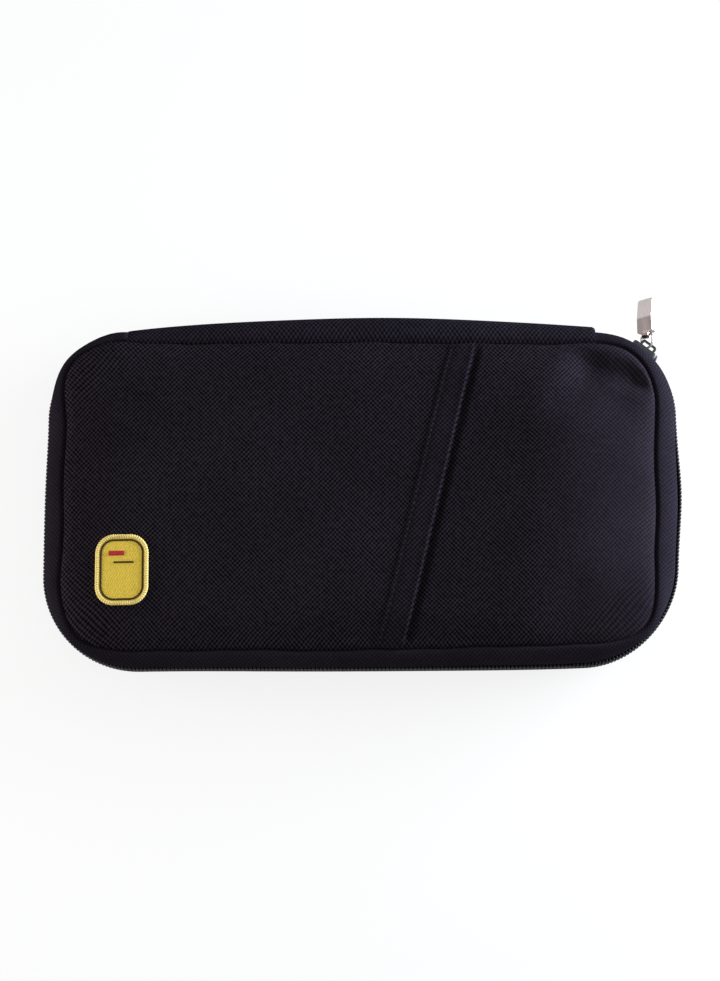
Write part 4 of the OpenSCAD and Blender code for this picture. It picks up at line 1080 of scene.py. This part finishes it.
def shown_directly(material):
    """1 on rays from the camera, off gloss or through glass, which see plain white, and 0 on all others."""
    rays = add(material, "LightPath").outputs
    shown = add(material, "Math", {0: rays["Is Camera Ray"], 1: rays["Is Glossy Ray"]}, operation="ADD")
    shown = add(material, "Math", {0: shown.outputs[0], 1: rays["Is Transmission Ray"]}, operation="ADD",
                use_clamp=True)
    return shown.outputs[0]


table_half, table_z = 3.0, -0.0002  # from here on in metres
corners = np.array([[-1, -1], [1, -1], [1, 1], [-1, 1]]) * table_half
table = bpy.data.meshes.new("table_top")
table.from_pydata(stack(corners[:, 0], corners[:, 1], table_z).tolist(), [], [(0, 1, 2, 3)])
# A matt white sheet that glows by most of its white, so that it stays plain and still shows the shadow.
white = bare_material("white_table")
matt = add(white, "BsdfPrincipled", {"Base Color": linear("#fbfbfb"), "Roughness": 0.9,
                                     "Specular IOR Level": 0.0})
white_glow = add(white, "Emission", {"Color": (1, 1, 1, 1), "Strength": 1.0})
glow_share = add(white, "Math", {0: shown_directly(white), 1: 0.82}, operation="MULTIPLY")
white_mix = add(white, "MixShader", {0: glow_share.outputs[0], 1: matt.outputs[0], 2: white_glow.outputs[0]})
add(white, "OutputMaterial", {"Surface": white_mix.outputs[0]})
table.materials.append(white)
floor = bpy.data.objects.new("table_top", table)
bpy.context.scene.collection.objects.link(floor)

sky = bpy.data.worlds.new("white_studio")
bpy.context.scene.world = sky
sky.use_nodes = True
sky.node_tree.nodes.clear()
sky_level = add(sky, "MapRange", {"Value": shown_directly(sky), "To Min": 0.5, "To Max": 1.0})
sky_glow = add(sky, "Background", {"Color": (1, 1, 1, 1), "Strength": sky_level.outputs[0]})
add(sky, "OutputWorld", {"Surface": sky_glow.outputs[0]})

for name, place, power, tint in (("soft_box_right", (0.50, 0.14, 0.10), 8.7, "#e6f2ff"),
                                 ("soft_box_left", (-0.56, -0.04, 0.12), 2.2, "#fdf8f4")):
    lamp = bpy.data.lights.new(name, "AREA")
    lamp.shape, lamp.size, lamp.size_y, lamp.energy = "RECTANGLE", 0.36, 0.14, power
    lamp.color = linear(tint)[:3]
    soft_box = bpy.data.objects.new(name, lamp)
    soft_box.location = place
    soft_box.rotation_mode = "QUATERNION"
    soft_box.rotation_quaternion = (Vector((0, 0, 0.02)) - soft_box.location).to_track_quat("-Z", "Y")
    soft_box.visible_camera = False
    bpy.context.scene.collection.objects.link(soft_box)

lens = bpy.data.cameras.new("overhead_camera")
camera = bpy.data.objects.new("overhead_camera", lens)
bpy.context.scene.collection.objects.link(camera)
elevation, distance, roll = math.radians(76.0), 1.1, math.radians(-0.45)
frame_h = 981 / 2654  # the photograph's height in pixels, by its pixels to the metre at the case
aim = Vector((-0.0006, 0.0047, zip_z * 0.001))
camera.location = aim + distance * Vector((0, -math.cos(elevation), math.sin(elevation)))
camera.rotation_mode = "QUATERNION"
level_view = (aim - camera.location).to_track_quat("-Z", "Y")
camera.rotation_quaternion = level_view @ Quaternion((0, 0, 1), roll)
lens.sensor_width = 36.0
lens.lens = lens.sensor_width * distance / frame_h
lens.clip_start, lens.clip_end = 0.05, 20.0
bpy.context.scene.camera = camera
bpy.context.scene.view_settings.view_transform = "Standard"
